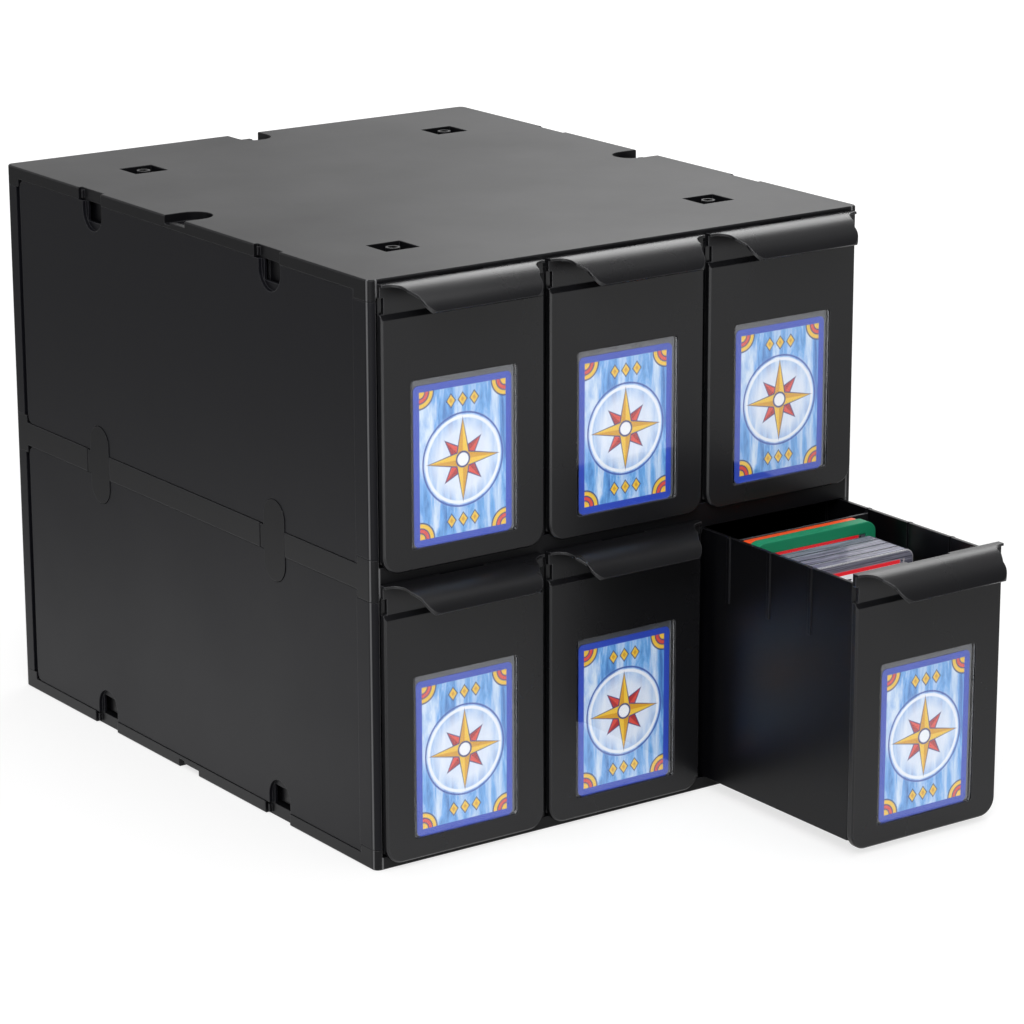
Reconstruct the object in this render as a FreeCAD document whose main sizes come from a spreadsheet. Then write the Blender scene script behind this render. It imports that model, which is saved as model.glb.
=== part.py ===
"""Trading card drawer box: a black moulded cabinet of two tiers with three drawers each.

Frame: millimetres, +Z up, +X to the right, drawers open towards -Y, origin at the middle
of the box's underside.  The lower right drawer stands pulled out; the others are shut.
"""
import FreeCAD, Part
import math
import os
import Sketcher
from FreeCAD import Placement, Rotation, Vector

doc = FreeCAD.newDocument("CardDrawerBox")

# ---------------------------------------------------------------- driving dimensions
SIZES = [
    # the cabinet
    ("bay_width", 105.5), ("bay_height", 149.0), ("box_depth", 392.0),
    ("divider_wall", 2.5), ("side_wall", 4.25), ("back_wall", 3.5), ("panel_edge", 7.0),
    ("seam_gap", 0.3), ("corner_length", 14.5), ("corner_drop", 4.5), ("post_radius", 4.0),
    ("panel_recess", 0.4), ("back_return", 15.3), ("groove_width", 3.6), ("groove_depth", 2.5),
    ("panel_corner", 5.0), ("rail_wall", 4.0), ("rib_wall", 2.0), ("bay_corner", 4.0),
    ("rim_bevel", 0.6), ("cut_past", 1.0),
    # clip sockets, clips, edge slots and the rebates with their screw bosses
    ("socket_width", 22.0), ("socket_half", 23.5), ("socket_depth", 2.6), ("clip_play", 0.3),
    ("socket_spacing", 192.0), ("socket_shift", 2.5), ("hook_reach", 4.0), ("hook_play", 1.0),
    ("fin_offset", 0.8), ("fin_wall", 1.2), ("fin_end", 1.2),
    ("latch_width", 17.0), ("latch_height", 11.5),
    ("slot_hollow", 5.0), ("ledge_width", 3.4), ("ledge_length", 16.0), ("ledge_drop", 3.5),
    ("rebate_width", 22.0), ("rebate_length", 20.0), ("rebate_depth", 5.0),
    ("screw_spacing_x", 215.0), ("screw_spacing_y", 265.0),
    ("boss_width", 8.0), ("boss_bore", 3.2), ("boss_height", 4.6),
    # the drawer tray
    ("tray_side_play", 1.75), ("tray_top_play", 1.0), ("tray_lift", 1.5), ("tray_length", 372.0),
    ("tray_wall", 2.0), ("tray_corner", 1.8), ("runner_width", 4.0), ("runner_inset", 14.0),
    ("channel_first", 35.9), ("channel_pitch", 35.4), ("channel_count", 10.0),
    ("channel_width", 2.6), ("channel_rise", 0.8), ("channel_drop", 38.0), ("slot_width", 1.6),
    ("slot_depth", 1.2),
    # the drawer front
    ("front_play", 4.0), ("front_foot", 3.5), ("front_head", 2.2), ("front_thick", 4.0),
    ("front_corner", 10.0), ("front_bevel", 0.9), ("upper_setback", 1.6),
    ("step_drop", 19.3), ("step_rise", 3.0), ("ear_height", 7.3), ("ear_notch", 2.4),
    ("lip_reach", 27.3), ("lip_drop", 12.4), ("lip_flat", 3.0), ("lip_wall", 1.4),
    ("lip_root", 42.0), ("lip_tip", 38.5), ("lip_flare", 9.0), ("lip_corner", 8.0),
    ("nick_width", 30.0), ("nick_depth", 2.0), ("nick_drop", 1.2),
    ("window_width", 68.5), ("window_height", 92.0), ("window_sill", 15.0),
    ("window_corner", 2.0), ("pane_thick", 1.5), ("pane_inset", 0.8), ("pane_play", 0.2),
    ("card_width", 63.0), ("card_height", 88.0), ("card_thick", 0.4), ("card_corner", 3.0),
    ("pad_margin", 1.0),
    # the pulled-out drawer and what stands in it
    ("pulled_out", 129.7), ("divider_steps", 2.0), ("divider_thick", 1.2), ("divider_top", 2.5),
    ("divider_ear", 30.0), ("slab_width", 81.0), ("slab_height", 138.0), ("slab_thick", 7.7),
    ("slab_corner", 5.0), ("slab_gap", 0.75), ("row_gap", 6.2), ("slab_well", 1.0),
    ("well_margin", 6.0), ("well_top", 3.0), ("guarded_slab_thick", 5.0), ("bumper_wall", 3.0),
    ("bumper_thick", 7.4), ("bumper_lip", 4.0), ("bumper_corner", 7.0), ("bumper_gap", 0.6),
    ("holder_width", 84.0), ("holder_top", 0.8), ("holder_thick", 5.6), ("holder_corner", 4.0),
    ("holder_gap", 5.6),
]
sheet = doc.addObject("Spreadsheet::Sheet", "Sizes")
for row, (alias, value) in enumerate(SIZES, start=1):
    sheet.set("A%d" % row, alias)
    sheet.set("B%d" % row, str(value))
    sheet.setAlias("B%d" % row, alias)
doc.recompute()

# Lengths that follow from the driving ones, as expressions on the sheet.
PITCH = "(Sizes.bay_width + Sizes.divider_wall)"
WIDE = "(3 * Sizes.bay_width + 2 * Sizes.divider_wall + 2 * Sizes.side_wall)"
DEEP = "Sizes.box_depth"
TIER = "(Sizes.bay_height + 2 * Sizes.panel_edge)"
HIGH = "(2 * %s)" % TIER
GAP = "Sizes.seam_gap"
LEFT = "(-%s / 2)" % WIDE
FACE = "(-%s / 2)" % DEEP
REAR = "(%s / 2)" % DEEP
BLOCK = "(Sizes.panel_edge + Sizes.corner_drop)"
TRAY_WIDE = "(Sizes.bay_width - 2 * Sizes.tray_side_play)"
TRAY_BASE = "(Sizes.panel_edge + Sizes.tray_lift)"
TRAY_RIM = "(Sizes.panel_edge + Sizes.bay_height - Sizes.tray_top_play)"
FRONT_WIDE = "(%s - Sizes.front_play)" % PITCH
FRONT_TOP = "(%s - Sizes.front_head)" % TIER
FRONT_FACE = "(-%s - Sizes.front_thick)" % GAP
STEP = "(%s - Sizes.step_drop)" % FRONT_TOP
SHELF = "(%s + Sizes.step_rise)" % STEP


def value(expression):
    """The number that an expression on the sheet gives now."""
    result = sheet.evalExpression(str(expression))
    return float(getattr(result, "Value", result))


# ---------------------------------------------------------------- helpers
def place(thing, x="0", y="0", z="0", rotation=None):
    """Binds where a thing stands to the sheet; its turn is fixed."""
    if rotation is not None:
        thing.Placement = Placement(Vector(), rotation)
    for axis, expression in zip("xyz", (x, y, z)):
        thing.setExpression("Placement.Base." + axis, str(expression))
    return thing


def block(name, size, corner):
    """A box from its size and lowest corner."""
    box = doc.addObject("Part::Box", name)
    for side, expression in zip(("Length", "Width", "Height"), size):
        box.setExpression(side, str(expression))
    return place(box, *corner)


TURNS = {"x": Rotation(Vector(0, 1, 0), 90), "y": Rotation(Vector(1, 0, 0), -90), "z": Rotation()}


def rod(name, radius, length, start, axis="z"):
    """A cylinder that runs along +x, +y or +z from its start."""
    cylinder = doc.addObject("Part::Cylinder", name)
    cylinder.setExpression("Radius", str(radius))
    cylinder.setExpression("Height", str(length))
    return place(cylinder, *start, rotation=TURNS[axis])


def join(name, *things):
    """Several solids made one."""
    fused = doc.addObject("Part::MultiFuse", name)
    fused.Shapes = list(things)
    fused.Refine = True
    return fused


def carve(name, base, *tools):
    """A solid with others taken out of it."""
    result = doc.addObject("Part::Cut", name)
    result.Base = base
    result.Tool = tools[0] if len(tools) == 1 else join(name + "_tools", *tools)
    result.Refine = True
    return result


def along(edge, axis):
    """Whether an edge is straight and parallel to a unit vector."""
    if not isinstance(edge.Curve, (Part.Line, Part.LineSegment)):
        return False
    return abs(abs(edge.tangentAt(edge.FirstParameter).dot(axis)) - 1) < 1e-6


def round_off(name, base, radius, wanted):
    """Fillets the edges of a Part object that a test picks."""
    doc.recompute()
    fillet = doc.addObject("Part::Fillet", name)
    fillet.Base = base
    fillet.Edges = [(number, radius, radius) for number, edge in enumerate(base.Shape.Edges, start=1)
                    if wanted(edge)]
    return fillet


def outline(body, name, role, offset, corners, arcs=None):
    """A closed sketch on one of a body's own planes, shifted along the plane's normal.

    corners are (u, v) expressions; a third item "X" or "Y" names the coordinate that an
    arc settles.  arcs gives {number: (centre u, centre v, turn)}: the side that leaves that
    corner is then an arc, anticlockwise (True) or clockwise (False), about that centre.
    """
    arcs = arcs or {}
    sketch = body.newObject("Sketcher::SketchObject", name)
    plane = next(item for item in body.Origin.OriginFeatures if item.Role == role)
    sketch.AttachmentSupport = [(plane, "")]
    sketch.MapMode = "FlatFace"
    sketch.setExpression("AttachmentOffset.Base.z", str(offset))
    spots = [Vector(value(corner[0]), value(corner[1]), 0) for corner in corners]
    count = len(corners)
    ends = []
    for number, start in enumerate(spots):
        stop = spots[(number + 1) % count]
        if number not in arcs:
            sketch.addGeometry(Part.LineSegment(start, stop), False)
            ends.append((1, 2))
            continue
        centre = Vector(value(arcs[number][0]), value(arcs[number][1]), 0)
        anticlockwise = arcs[number][2]
        first, last = (start, stop) if anticlockwise else (stop, start)
        angles = [math.atan2(spot.y - centre.y, spot.x - centre.x) for spot in (first, last)]
        if angles[1] < angles[0]:
            angles[1] += 2 * math.pi
        circle = Part.Circle(centre, Vector(0, 0, 1), (start - centre).Length)
        sketch.addGeometry(Part.ArcOfCircle(circle, *angles), False)
        ends.append((1, 2) if anticlockwise else (2, 1))
    for number in range(count):
        following = (number + 1) % count
        sketch.addConstraint(Sketcher.Constraint(
            "Coincident", number, ends[number][1], following, ends[following][0]))
    for number, corner in enumerate(corners):
        pin(sketch, number, ends[number][0], "corner%d" % number, corner[0], corner[1],
            skip=corner[2] if len(corner) > 2 else "")
    for number, (u, v, _) in arcs.items():
        pin(sketch, number, 3, "centre%d" % number, u, v)
    return sketch


def pin(sketch, geometry, point, name, u, v, skip=""):
    """Ties one point of a sketch to expressions for its two coordinates."""
    for kind, expression in (("DistanceX", u), ("DistanceY", v)):
        if kind[-1] in skip:
            continue
        index = sketch.addConstraint(
            Sketcher.Constraint(kind, -1, 1, geometry, point, value(expression)))
        label = name + kind[-1]
        sketch.renameConstraint(index, label)
        sketch.setExpression("Constraints." + label, str(expression))


def extrude(body, kind, name, sketch, length, backwards=False):
    """A Pad or Pocket of one sketch."""
    feature = body.newObject("PartDesign::" + kind, name)
    feature.Profile = sketch
    feature.setExpression("Length", str(length))
    feature.Reversed = backwards
    sketch.Visibility = False
    doc.recompute()
    return feature


def cut_away(body, name, sketch, length, backwards=False):
    """A Pocket that must take something away."""
    before = body.Shape.Volume
    feature = extrude(body, "Pocket", name, sketch, length, backwards)
    if body.Shape.Volume > before - 1e-3:
        raise RuntimeError(name + " cuts nothing")
    return feature


EDGE_SIZES = {"Fillet": "Radius", "Chamfer": "Size"}


def soften(body, name, feature, size, wanted, kind="Fillet"):
    """A PartDesign fillet or chamfer on the edges of a feature that a test picks."""
    names = ["Edge%d" % number for number, edge in enumerate(feature.Shape.Edges, start=1)
             if wanted(edge)]
    dressed = body.newObject("PartDesign::" + kind, name)
    dressed.Base = (feature, names)
    dressed.setExpression(EDGE_SIZES[kind], str(size))
    doc.recompute()
    return dressed


def rectangle(low_u, low_v, high_u, high_v):
    """The corners of an upright rectangle, anticlockwise."""
    return [(low_u, low_v), (high_u, low_v), (high_u, high_v), (low_u, high_v)]


X, Y, Z = Vector(1, 0, 0), Vector(0, 1, 0), Vector(0, 0, 1)
parts = []


def finish(name, thing):
    """Names a sub-part and puts it on the list that is written out."""
    thing.Label = name
    parts.append(thing)
    return thing


# ---------------------------------------------------------------- clip sockets
def stadium(name, width, half, depth, centre, across):
    """A long round-ended slab about a centre.

    across is the axis along its thickness, with a sign for the side that it grows to:
    a slab across x or y stands upright, and one across z lies along x or y.
    """
    x, y, z = centre
    straight = "(2 * (%s) - (%s))" % (half, width)
    radius = "((%s) / 2)" % width
    if across == "x":
        core = block(name + "_core", (depth, width, straight),
                     (x, "%s - %s" % (y, radius), "%s - %s / 2" % (z, straight)))
        ends = [(x, y, "%s - %s / 2" % (z, straight)), (x, y, "%s + %s / 2" % (z, straight))]
        turn = "x"
    elif across == "z along x":
        core = block(name + "_core", (straight, width, depth),
                     ("%s - %s / 2" % (x, straight), "%s - %s" % (y, radius), z))
        ends = [("%s - %s / 2" % (x, straight), y, z), ("%s + %s / 2" % (x, straight), y, z)]
        turn = "z"
    else:
        core = block(name + "_core", (width, straight, depth),
                     ("%s - %s" % (x, radius), "%s - %s / 2" % (y, straight), z))
        ends = [(x, "%s - %s / 2" % (y, straight), z), (x, "%s + %s / 2" % (y, straight), z)]
        turn = "z"
    rods = [rod("%s_end%d" % (name, number), radius, depth, spot, turn)
            for number, spot in enumerate(ends)]
    return join(name, core, *rods)


SOCKET_YS = {"front": "(-Sizes.socket_spacing / 2 - Sizes.socket_shift)",
             "back": "(Sizes.socket_spacing / 2 - Sizes.socket_shift)"}


def socket_cuts(name, side, level):
    """The recesses on one side of the box for the clips that straddle one seam level."""
    depth = "Sizes.socket_depth"
    start = LEFT if side == "left" else "(%s / 2 - %s)" % (WIDE, depth)
    return [stadium("%s_%s" % (name, which), "Sizes.socket_width", "Sizes.socket_half", depth,
                    (start, y, level), "x") for which, y in SOCKET_YS.items()]


def hook_cuts(name, side, low, high, fins=False):
    """The narrow slot beside each socket that a clip's hook drops into.

    Where fins are asked for, an upright fin is left standing in the slot for the hook to catch.
    """
    depth = "Sizes.socket_depth"
    start = LEFT if side == "left" else "(%s / 2 - %s)" % (WIDE, depth)
    reach = "(Sizes.socket_width / 2 + Sizes.hook_reach)"
    cuts = []
    for which, y in SOCKET_YS.items():
        slot = block("%s_%s" % (name, which), (depth, reach, "%s - (%s)" % (high, low)), (start, y, low))
        if fins:
            fin_x = "%s + Sizes.fin_offset" % start
            if side == "right":
                fin_x = "%s - %s - Sizes.fin_offset" % (start, depth)
            fin = block("%s_%s_fin" % (name, which),
                        ("2 * " + depth, "Sizes.fin_wall", "%s - (%s) - 2 * Sizes.fin_end" % (high, low)),
                        (fin_x, "%s + Sizes.socket_width / 2 + Sizes.fin_offset" % y,
                         "%s + Sizes.fin_end" % low))
            slot = carve("%s_%s_open" % (name, which), slot, fin)
        cuts.append(slot)
    return cuts


# ---------------------------------------------------------------- panels of the cabinet
def corner_blocks(name, low, height):
    """The four small returns of a panel that stand in line with the corner posts."""
    far_x = "(%s / 2 - Sizes.side_wall)" % WIDE
    far_y = "(%s - Sizes.corner_length)" % REAR
    return [block("%s_block%d" % (name, number), ("Sizes.side_wall", "Sizes.corner_length", height),
                  (x, y, low))
            for number, (x, y) in enumerate([(LEFT, FACE), (far_x, FACE), (LEFT, far_y), (far_x, far_y)])]


def at_corner(edge):
    """Whether an upright edge is one of the box's four outer corners."""
    middle = edge.CenterOfMass
    return (along(edge, Z) and abs(abs(middle.x) - value(WIDE) / 2) < 1e-4
            and abs(abs(middle.y) - value(DEEP) / 2) < 1e-4)


def panel_blank(name, low, height, block_low, block_height):
    """A full plate with its corner returns and rounded upright corners."""
    plate = block(name + "_plate", (WIDE, DEEP, height), (LEFT, FACE, low))
    blank = join(name + "_blank", plate, *corner_blocks(name, block_low, block_height))
    return round_off(name + "_rounded", blank, value("Sizes.post_radius"), at_corner)


def bevel_rim(name, base):
    """Breaks the edges round a plate's upper face."""
    doc.recompute()
    rim = doc.addObject("Part::Chamfer", name)
    rim.Base = base
    size = value("Sizes.rim_bevel")
    level = value(HIGH)
    rim.Edges = [(number, size, size) for number, edge in enumerate(base.Shape.Edges, start=1)
                 if abs(edge.BoundBox.ZMin - level) < 1e-4]
    return rim


def bay_gussets(name, under):
    """The small rounded webs in the two upper corners of each bay, behind its front edge."""
    webs = []
    side = "Sizes.bay_corner"
    for bay in (-1, 0, 1):
        for sign in (-1, 1):
            wall_x = "(%d * %s + %d * (Sizes.bay_width / 2 - %s))" % (bay, PITCH, sign, GAP)
            centre_x = "(%s - %d * %s)" % (wall_x, sign, side)
            low_x = wall_x if sign < 0 else centre_x
            tag = "%s_gusset%d_%d" % (name, bay + 1, sign + 1)
            web = block(tag, (side, "Sizes.rail_wall", side), (low_x, FACE, "%s - %s" % (under, side)))
            round_part = rod(tag + "_round", side, "Sizes.rail_wall",
                             (centre_x, FACE, "%s - %s" % (under, side)), "y")
            webs.append(carve(tag + "_web", web, round_part))
    return webs


def edge_slot(name, centre, run):
    """An open-ended hollow in a panel's edge for a clip, with a ledge at its mouth.

    run is the axis along the hollow: x at the left and right edges, y at the back.
    """
    x, y, z = centre
    hollow = stadium(name, "Sizes.socket_width", "Sizes.socket_half", "Sizes.slot_hollow",
                     (x, y, "%s - Sizes.slot_hollow" % z), "z along " + run)
    reach, length = "(2 * Sizes.ledge_width)", "Sizes.ledge_length"
    near = "Sizes.ledge_width"
    size = (reach, length) if run == "x" else (length, reach)
    corner = (("%s - %s" % (x, near), "%s - Sizes.socket_width / 2" % y) if run == "x" else
              ("%s - Sizes.socket_width / 2" % x, "%s - %s" % (y, near)))
    ledge = block(name + "_ledge", size + ("Sizes.slot_hollow - Sizes.ledge_drop",),
                  corner + ("%s - Sizes.slot_hollow" % z,))
    return carve(name + "_open", hollow, ledge)


REBATE_FLOOR = "(%s - Sizes.rebate_depth)" % HIGH
SCREW_SPOTS = [("(%d * Sizes.screw_spacing_x / 2)" % sx, "(%d * Sizes.screw_spacing_y / 2)" % sy)
               for sx, sy in ((-1, -1), (1, -1), (-1, 1), (1, 1))]


def outer_panel(name):
    """The top panel, with its rebates, edge slots and clip sockets.

    The slots and sockets take the clips that hold a second box beside, behind or on top of
    this one.
    """
    blank = panel_blank(name, "%s - Sizes.panel_edge" % HIGH, "Sizes.panel_edge",
                        "%s - %s" % (HIGH, BLOCK), BLOCK)
    cuts = [block("%s_rebate%d" % (name, number),
                  ("Sizes.rebate_width", "Sizes.rebate_length", "Sizes.rebate_depth"),
                  ("%s - Sizes.rebate_width / 2" % x, "%s - Sizes.rebate_length / 2" % y, REBATE_FLOOR))
            for number, (x, y) in enumerate(SCREW_SPOTS)]
    cuts += [edge_slot(name + "_slot_left", (LEFT, "0", HIGH), "x"),
             edge_slot(name + "_slot_right", ("(%s / 2)" % WIDE, "0", HIGH), "x"),
             edge_slot(name + "_slot_back", ("0", REAR, HIGH), "y")]
    for side in ("left", "right"):
        cuts += socket_cuts("%s_socket_%s" % (name, side), side, HIGH)
        cuts += hook_cuts("%s_hook_%s" % (name, side), side, "%s - Sizes.panel_edge" % HIGH, HIGH,
                          fins=True)
    return carve(name + "_cut", bevel_rim(name + "_rim", blank), *cuts)


def screw_bosses(name):
    """The round bosses that rise from the rebates' floors, each with a pilot bore for a screw."""
    bosses = []
    for number, (x, y) in enumerate(SCREW_SPOTS):
        post = rod("%s_post%d" % (name, number), "Sizes.boss_width / 2", "Sizes.boss_height",
                   (x, y, REBATE_FLOOR))
        bore = rod("%s_bore%d" % (name, number), "Sizes.boss_bore / 2", "Sizes.boss_height",
                   (x, y, REBATE_FLOOR))
        bosses.append(carve("%s%d" % (name, number), post, bore))
    return bosses


plain = outer_panel("outer_panel")
finish("top_panel", join("top_panel", plain, *(
    screw_bosses("top_boss") + bay_gussets("top_panel", "(%s - Sizes.panel_edge)" % HIGH))))

bottom = doc.addObject("Part::Mirroring", "bottom_panel")
bottom.Source = plain
bottom.Normal = Z
bottom.setExpression("Base.z", TIER)
finish("bottom_panel", bottom)


def middle_panel(name):
    """The panel between the tiers: a deck in a rim that is as deep as two edges.

    A keel runs under the deck over each divider, so each lower bay has a pocket above it.
    """
    blank = panel_blank(name, "%s - Sizes.panel_edge" % TIER, "2 * Sizes.panel_edge",
                        "%s - %s" % (TIER, BLOCK), "2 * %s" % BLOCK)
    wide = "(Sizes.bay_width - 2 * Sizes.rib_wall)"
    cuts = [block("%s_pocket%d" % (name, bay + 1),
                  (wide, "%s - Sizes.rail_wall - Sizes.back_wall" % DEEP, "Sizes.panel_edge"),
                  ("%d * %s - %s / 2" % (bay, PITCH, wide), "%s + Sizes.rail_wall" % FACE,
                   "%s - Sizes.panel_edge" % TIER))
            for bay in (-1, 0, 1)]
    for side in ("left", "right"):
        cuts += socket_cuts("%s_socket_%s" % (name, side), side, TIER)
        cuts += hook_cuts("%s_hook_%s" % (name, side), side,
                          "%s - Sizes.panel_edge" % TIER, "(%s + Sizes.panel_edge)" % TIER)
    deck = carve(name + "_cut", blank, *cuts)
    return join(name, deck, *bay_gussets(name, "(%s - Sizes.panel_edge)" % TIER))


finish("middle_panel", middle_panel("middle_panel"))


def side_panel(tier, base, side):
    """One side of one tier: a flat wall with the front corner post moulded on.

    The post is rounded and stands a little proud of the wall, and it is shorter than the
    wall by the corner returns of the panels above and below.
    """
    name = "%s_%s_side" % (tier, side)
    body = doc.addObject("PartDesign::Body", name)
    low = "(%s + Sizes.panel_edge + %s)" % (base, GAP)
    high = "(%s + %s - Sizes.panel_edge - %s)" % (base, TIER, GAP)
    post_low = "(%s + Sizes.corner_drop)" % low
    post_high = "(%s - Sizes.corner_drop)" % high
    shoulder = "(%s + Sizes.corner_length + %s)" % (FACE, GAP)
    end = "(%s - Sizes.back_return - %s)" % (REAR, GAP)
    inner = "(%s + Sizes.side_wall)" % LEFT
    if side == "right":
        inner = "(%s / 2 - Sizes.side_wall)" % WIDE
    start = LEFT if side == "left" else inner
    profile = outline(body, name + "_profile", "YZ_Plane", start, [
        (FACE, post_low), (shoulder, post_low), (shoulder, low), (end, low),
        (end, high), (shoulder, high), (shoulder, post_high), (FACE, post_high)])
    wall = extrude(body, "Pad", name + "_wall", profile, "Sizes.side_wall")
    outer_x = value(LEFT) if side == "left" else value(WIDE) / 2
    post = soften(body, name + "_post", wall, "Sizes.post_radius", lambda edge: (
        along(edge, Z) and abs(edge.CenterOfMass.x - outer_x) < 1e-4
        and abs(edge.CenterOfMass.y - value(FACE)) < 1e-4))
    soften(body, name + "_rear", post, "Sizes.panel_corner", lambda edge: (
        along(edge, X) and abs(edge.CenterOfMass.y - value(end)) < 1e-4))
    face_start = LEFT if side == "left" else "(%s / 2 - Sizes.panel_recess)" % WIDE
    field = outline(body, name + "_field", "YZ_Plane", face_start, rectangle(
        "(%s + 2 * %s)" % (shoulder, GAP), low, end, high))
    cut_away(body, name + "_recess", field, "Sizes.panel_recess", backwards=True)
    cuts = []
    for level, inward in ((base, 1), ("(%s + %s)" % (base, TIER), -1)):
        tag = "%s_%s" % (name, "low" if inward > 0 else "high")
        cuts += socket_cuts(tag, side, level)
        if (tier == "upper") == (inward < 0):
            edge_of_wall = low if inward > 0 else "(%s - Sizes.latch_height)" % high
            cuts += [block("%s_latch_%s" % (tag, which),
                           ("2 * Sizes.side_wall", "Sizes.latch_width", "Sizes.latch_height"),
                           ("%s - Sizes.side_wall / 2" % start, "%s - Sizes.latch_width / 2" % y,
                            edge_of_wall)) for which, y in SOCKET_YS.items()]
    return carve(name + "_cut", body, *cuts)


def back_panel(tier, base):
    """The back of one tier, which turns both corners as the rear posts.

    A deep groove separates each post from the side wall in front of it.
    """
    name = "%s_back" % tier
    low = "(%s + Sizes.panel_edge + %s)" % (base, GAP)
    tall = "(Sizes.bay_height - 2 * %s)" % GAP
    wall = block(name + "_wall", (WIDE, "Sizes.back_wall", tall), (LEFT, "%s - Sizes.back_wall" % REAR, low))
    far_x = "(%s / 2 - Sizes.side_wall)" % WIDE
    posts = [block("%s_post%d" % (name, number), ("Sizes.side_wall", "Sizes.back_return", tall),
                   (x, "%s - Sizes.back_return" % REAR, low)) for number, x in enumerate((LEFT, far_x))]
    blank = join(name + "_blank", wall, *posts)
    rounded = round_off(name + "_rounded", blank, value("Sizes.post_radius"), at_corner)
    cuts = []
    notch_high = "(%s + %s)" % (BLOCK, GAP)
    for number, x in enumerate(("(%s - Sizes.cut_past)" % LEFT, "(%s - %s)" % (far_x, GAP))):
        for level, z in (("foot", base), ("head", "%s + %s - %s" % (base, TIER, notch_high))):
            cuts.append(block("%s_notch%d_%s" % (name, number, level),
                              ("Sizes.side_wall + %s + Sizes.cut_past" % GAP,
                               "2 * Sizes.corner_length", notch_high),
                              (x, "%s - Sizes.corner_length - %s" % (REAR, GAP), z)))
        groove_x = LEFT if number == 0 else "(%s / 2 - Sizes.groove_depth)" % WIDE
        cuts.append(block("%s_groove%d" % (name, number), ("Sizes.groove_depth", "Sizes.groove_width", TIER),
                          (groove_x, "%s - Sizes.back_return" % REAR, base)))
    return carve(name + "_cut", rounded, *cuts)


def divider(tier, base, number):
    """A thin wall between two bays, as deep as the inside of the box."""
    name = "%s_divider_%s" % (tier, "left" if number < 0 else "right")
    wall = block(name + "_wall", ("Sizes.divider_wall",
                                  "%s - Sizes.back_wall - 2 * %s" % (DEEP, GAP),
                                  "Sizes.bay_height - 2 * %s" % GAP),
                 ("(%d * %s / 2) - Sizes.divider_wall / 2" % (number, PITCH),
                  "%s + %s" % (FACE, GAP), "%s + Sizes.panel_edge + %s" % (base, GAP)))
    return wall


TIERS = {"lower": "0", "upper": TIER}
for tier, base in TIERS.items():
    for side in ("left", "right"):
        finish("%s_%s_side_panel" % (tier, side), side_panel(tier, base, side))
    finish("%s_back_panel" % tier, back_panel(tier, base))
    for number, side in ((-1, "left"), (1, "right")):
        finish("%s_%s_bay_divider" % (tier, side), divider(tier, base, number))

def connector_clip(name, side, y):
    """A flush clip that straddles the middle panel, with its hook in the slot beside it."""
    depth = "(Sizes.socket_depth - %s)" % GAP
    start = LEFT if side == "left" else "(%s / 2 - %s)" % (WIDE, depth)
    plate = stadium(name, "(Sizes.socket_width - 2 * Sizes.clip_play)",
                    "(Sizes.socket_half - Sizes.clip_play)", depth, (start, y, TIER), "x")
    tall = "(2 * Sizes.panel_edge - 2 * %s)" % GAP
    hook = block(name + "_hook",
                 (depth, "Sizes.socket_width / 2 + Sizes.hook_reach - Sizes.hook_play", tall),
                 (start, y, "%s - %s / 2" % (TIER, tall)))
    return join(name + "_hooked", plate, hook)


for side in ("left", "right"):
    pair = doc.addObject("Part::Compound", side + "_clips")
    pair.Links = [connector_clip("clip_%s_%s" % (side, which), side, y)
                  for which, y in SOCKET_YS.items()]
    finish("%s_connector_clips" % side, pair)


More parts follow.
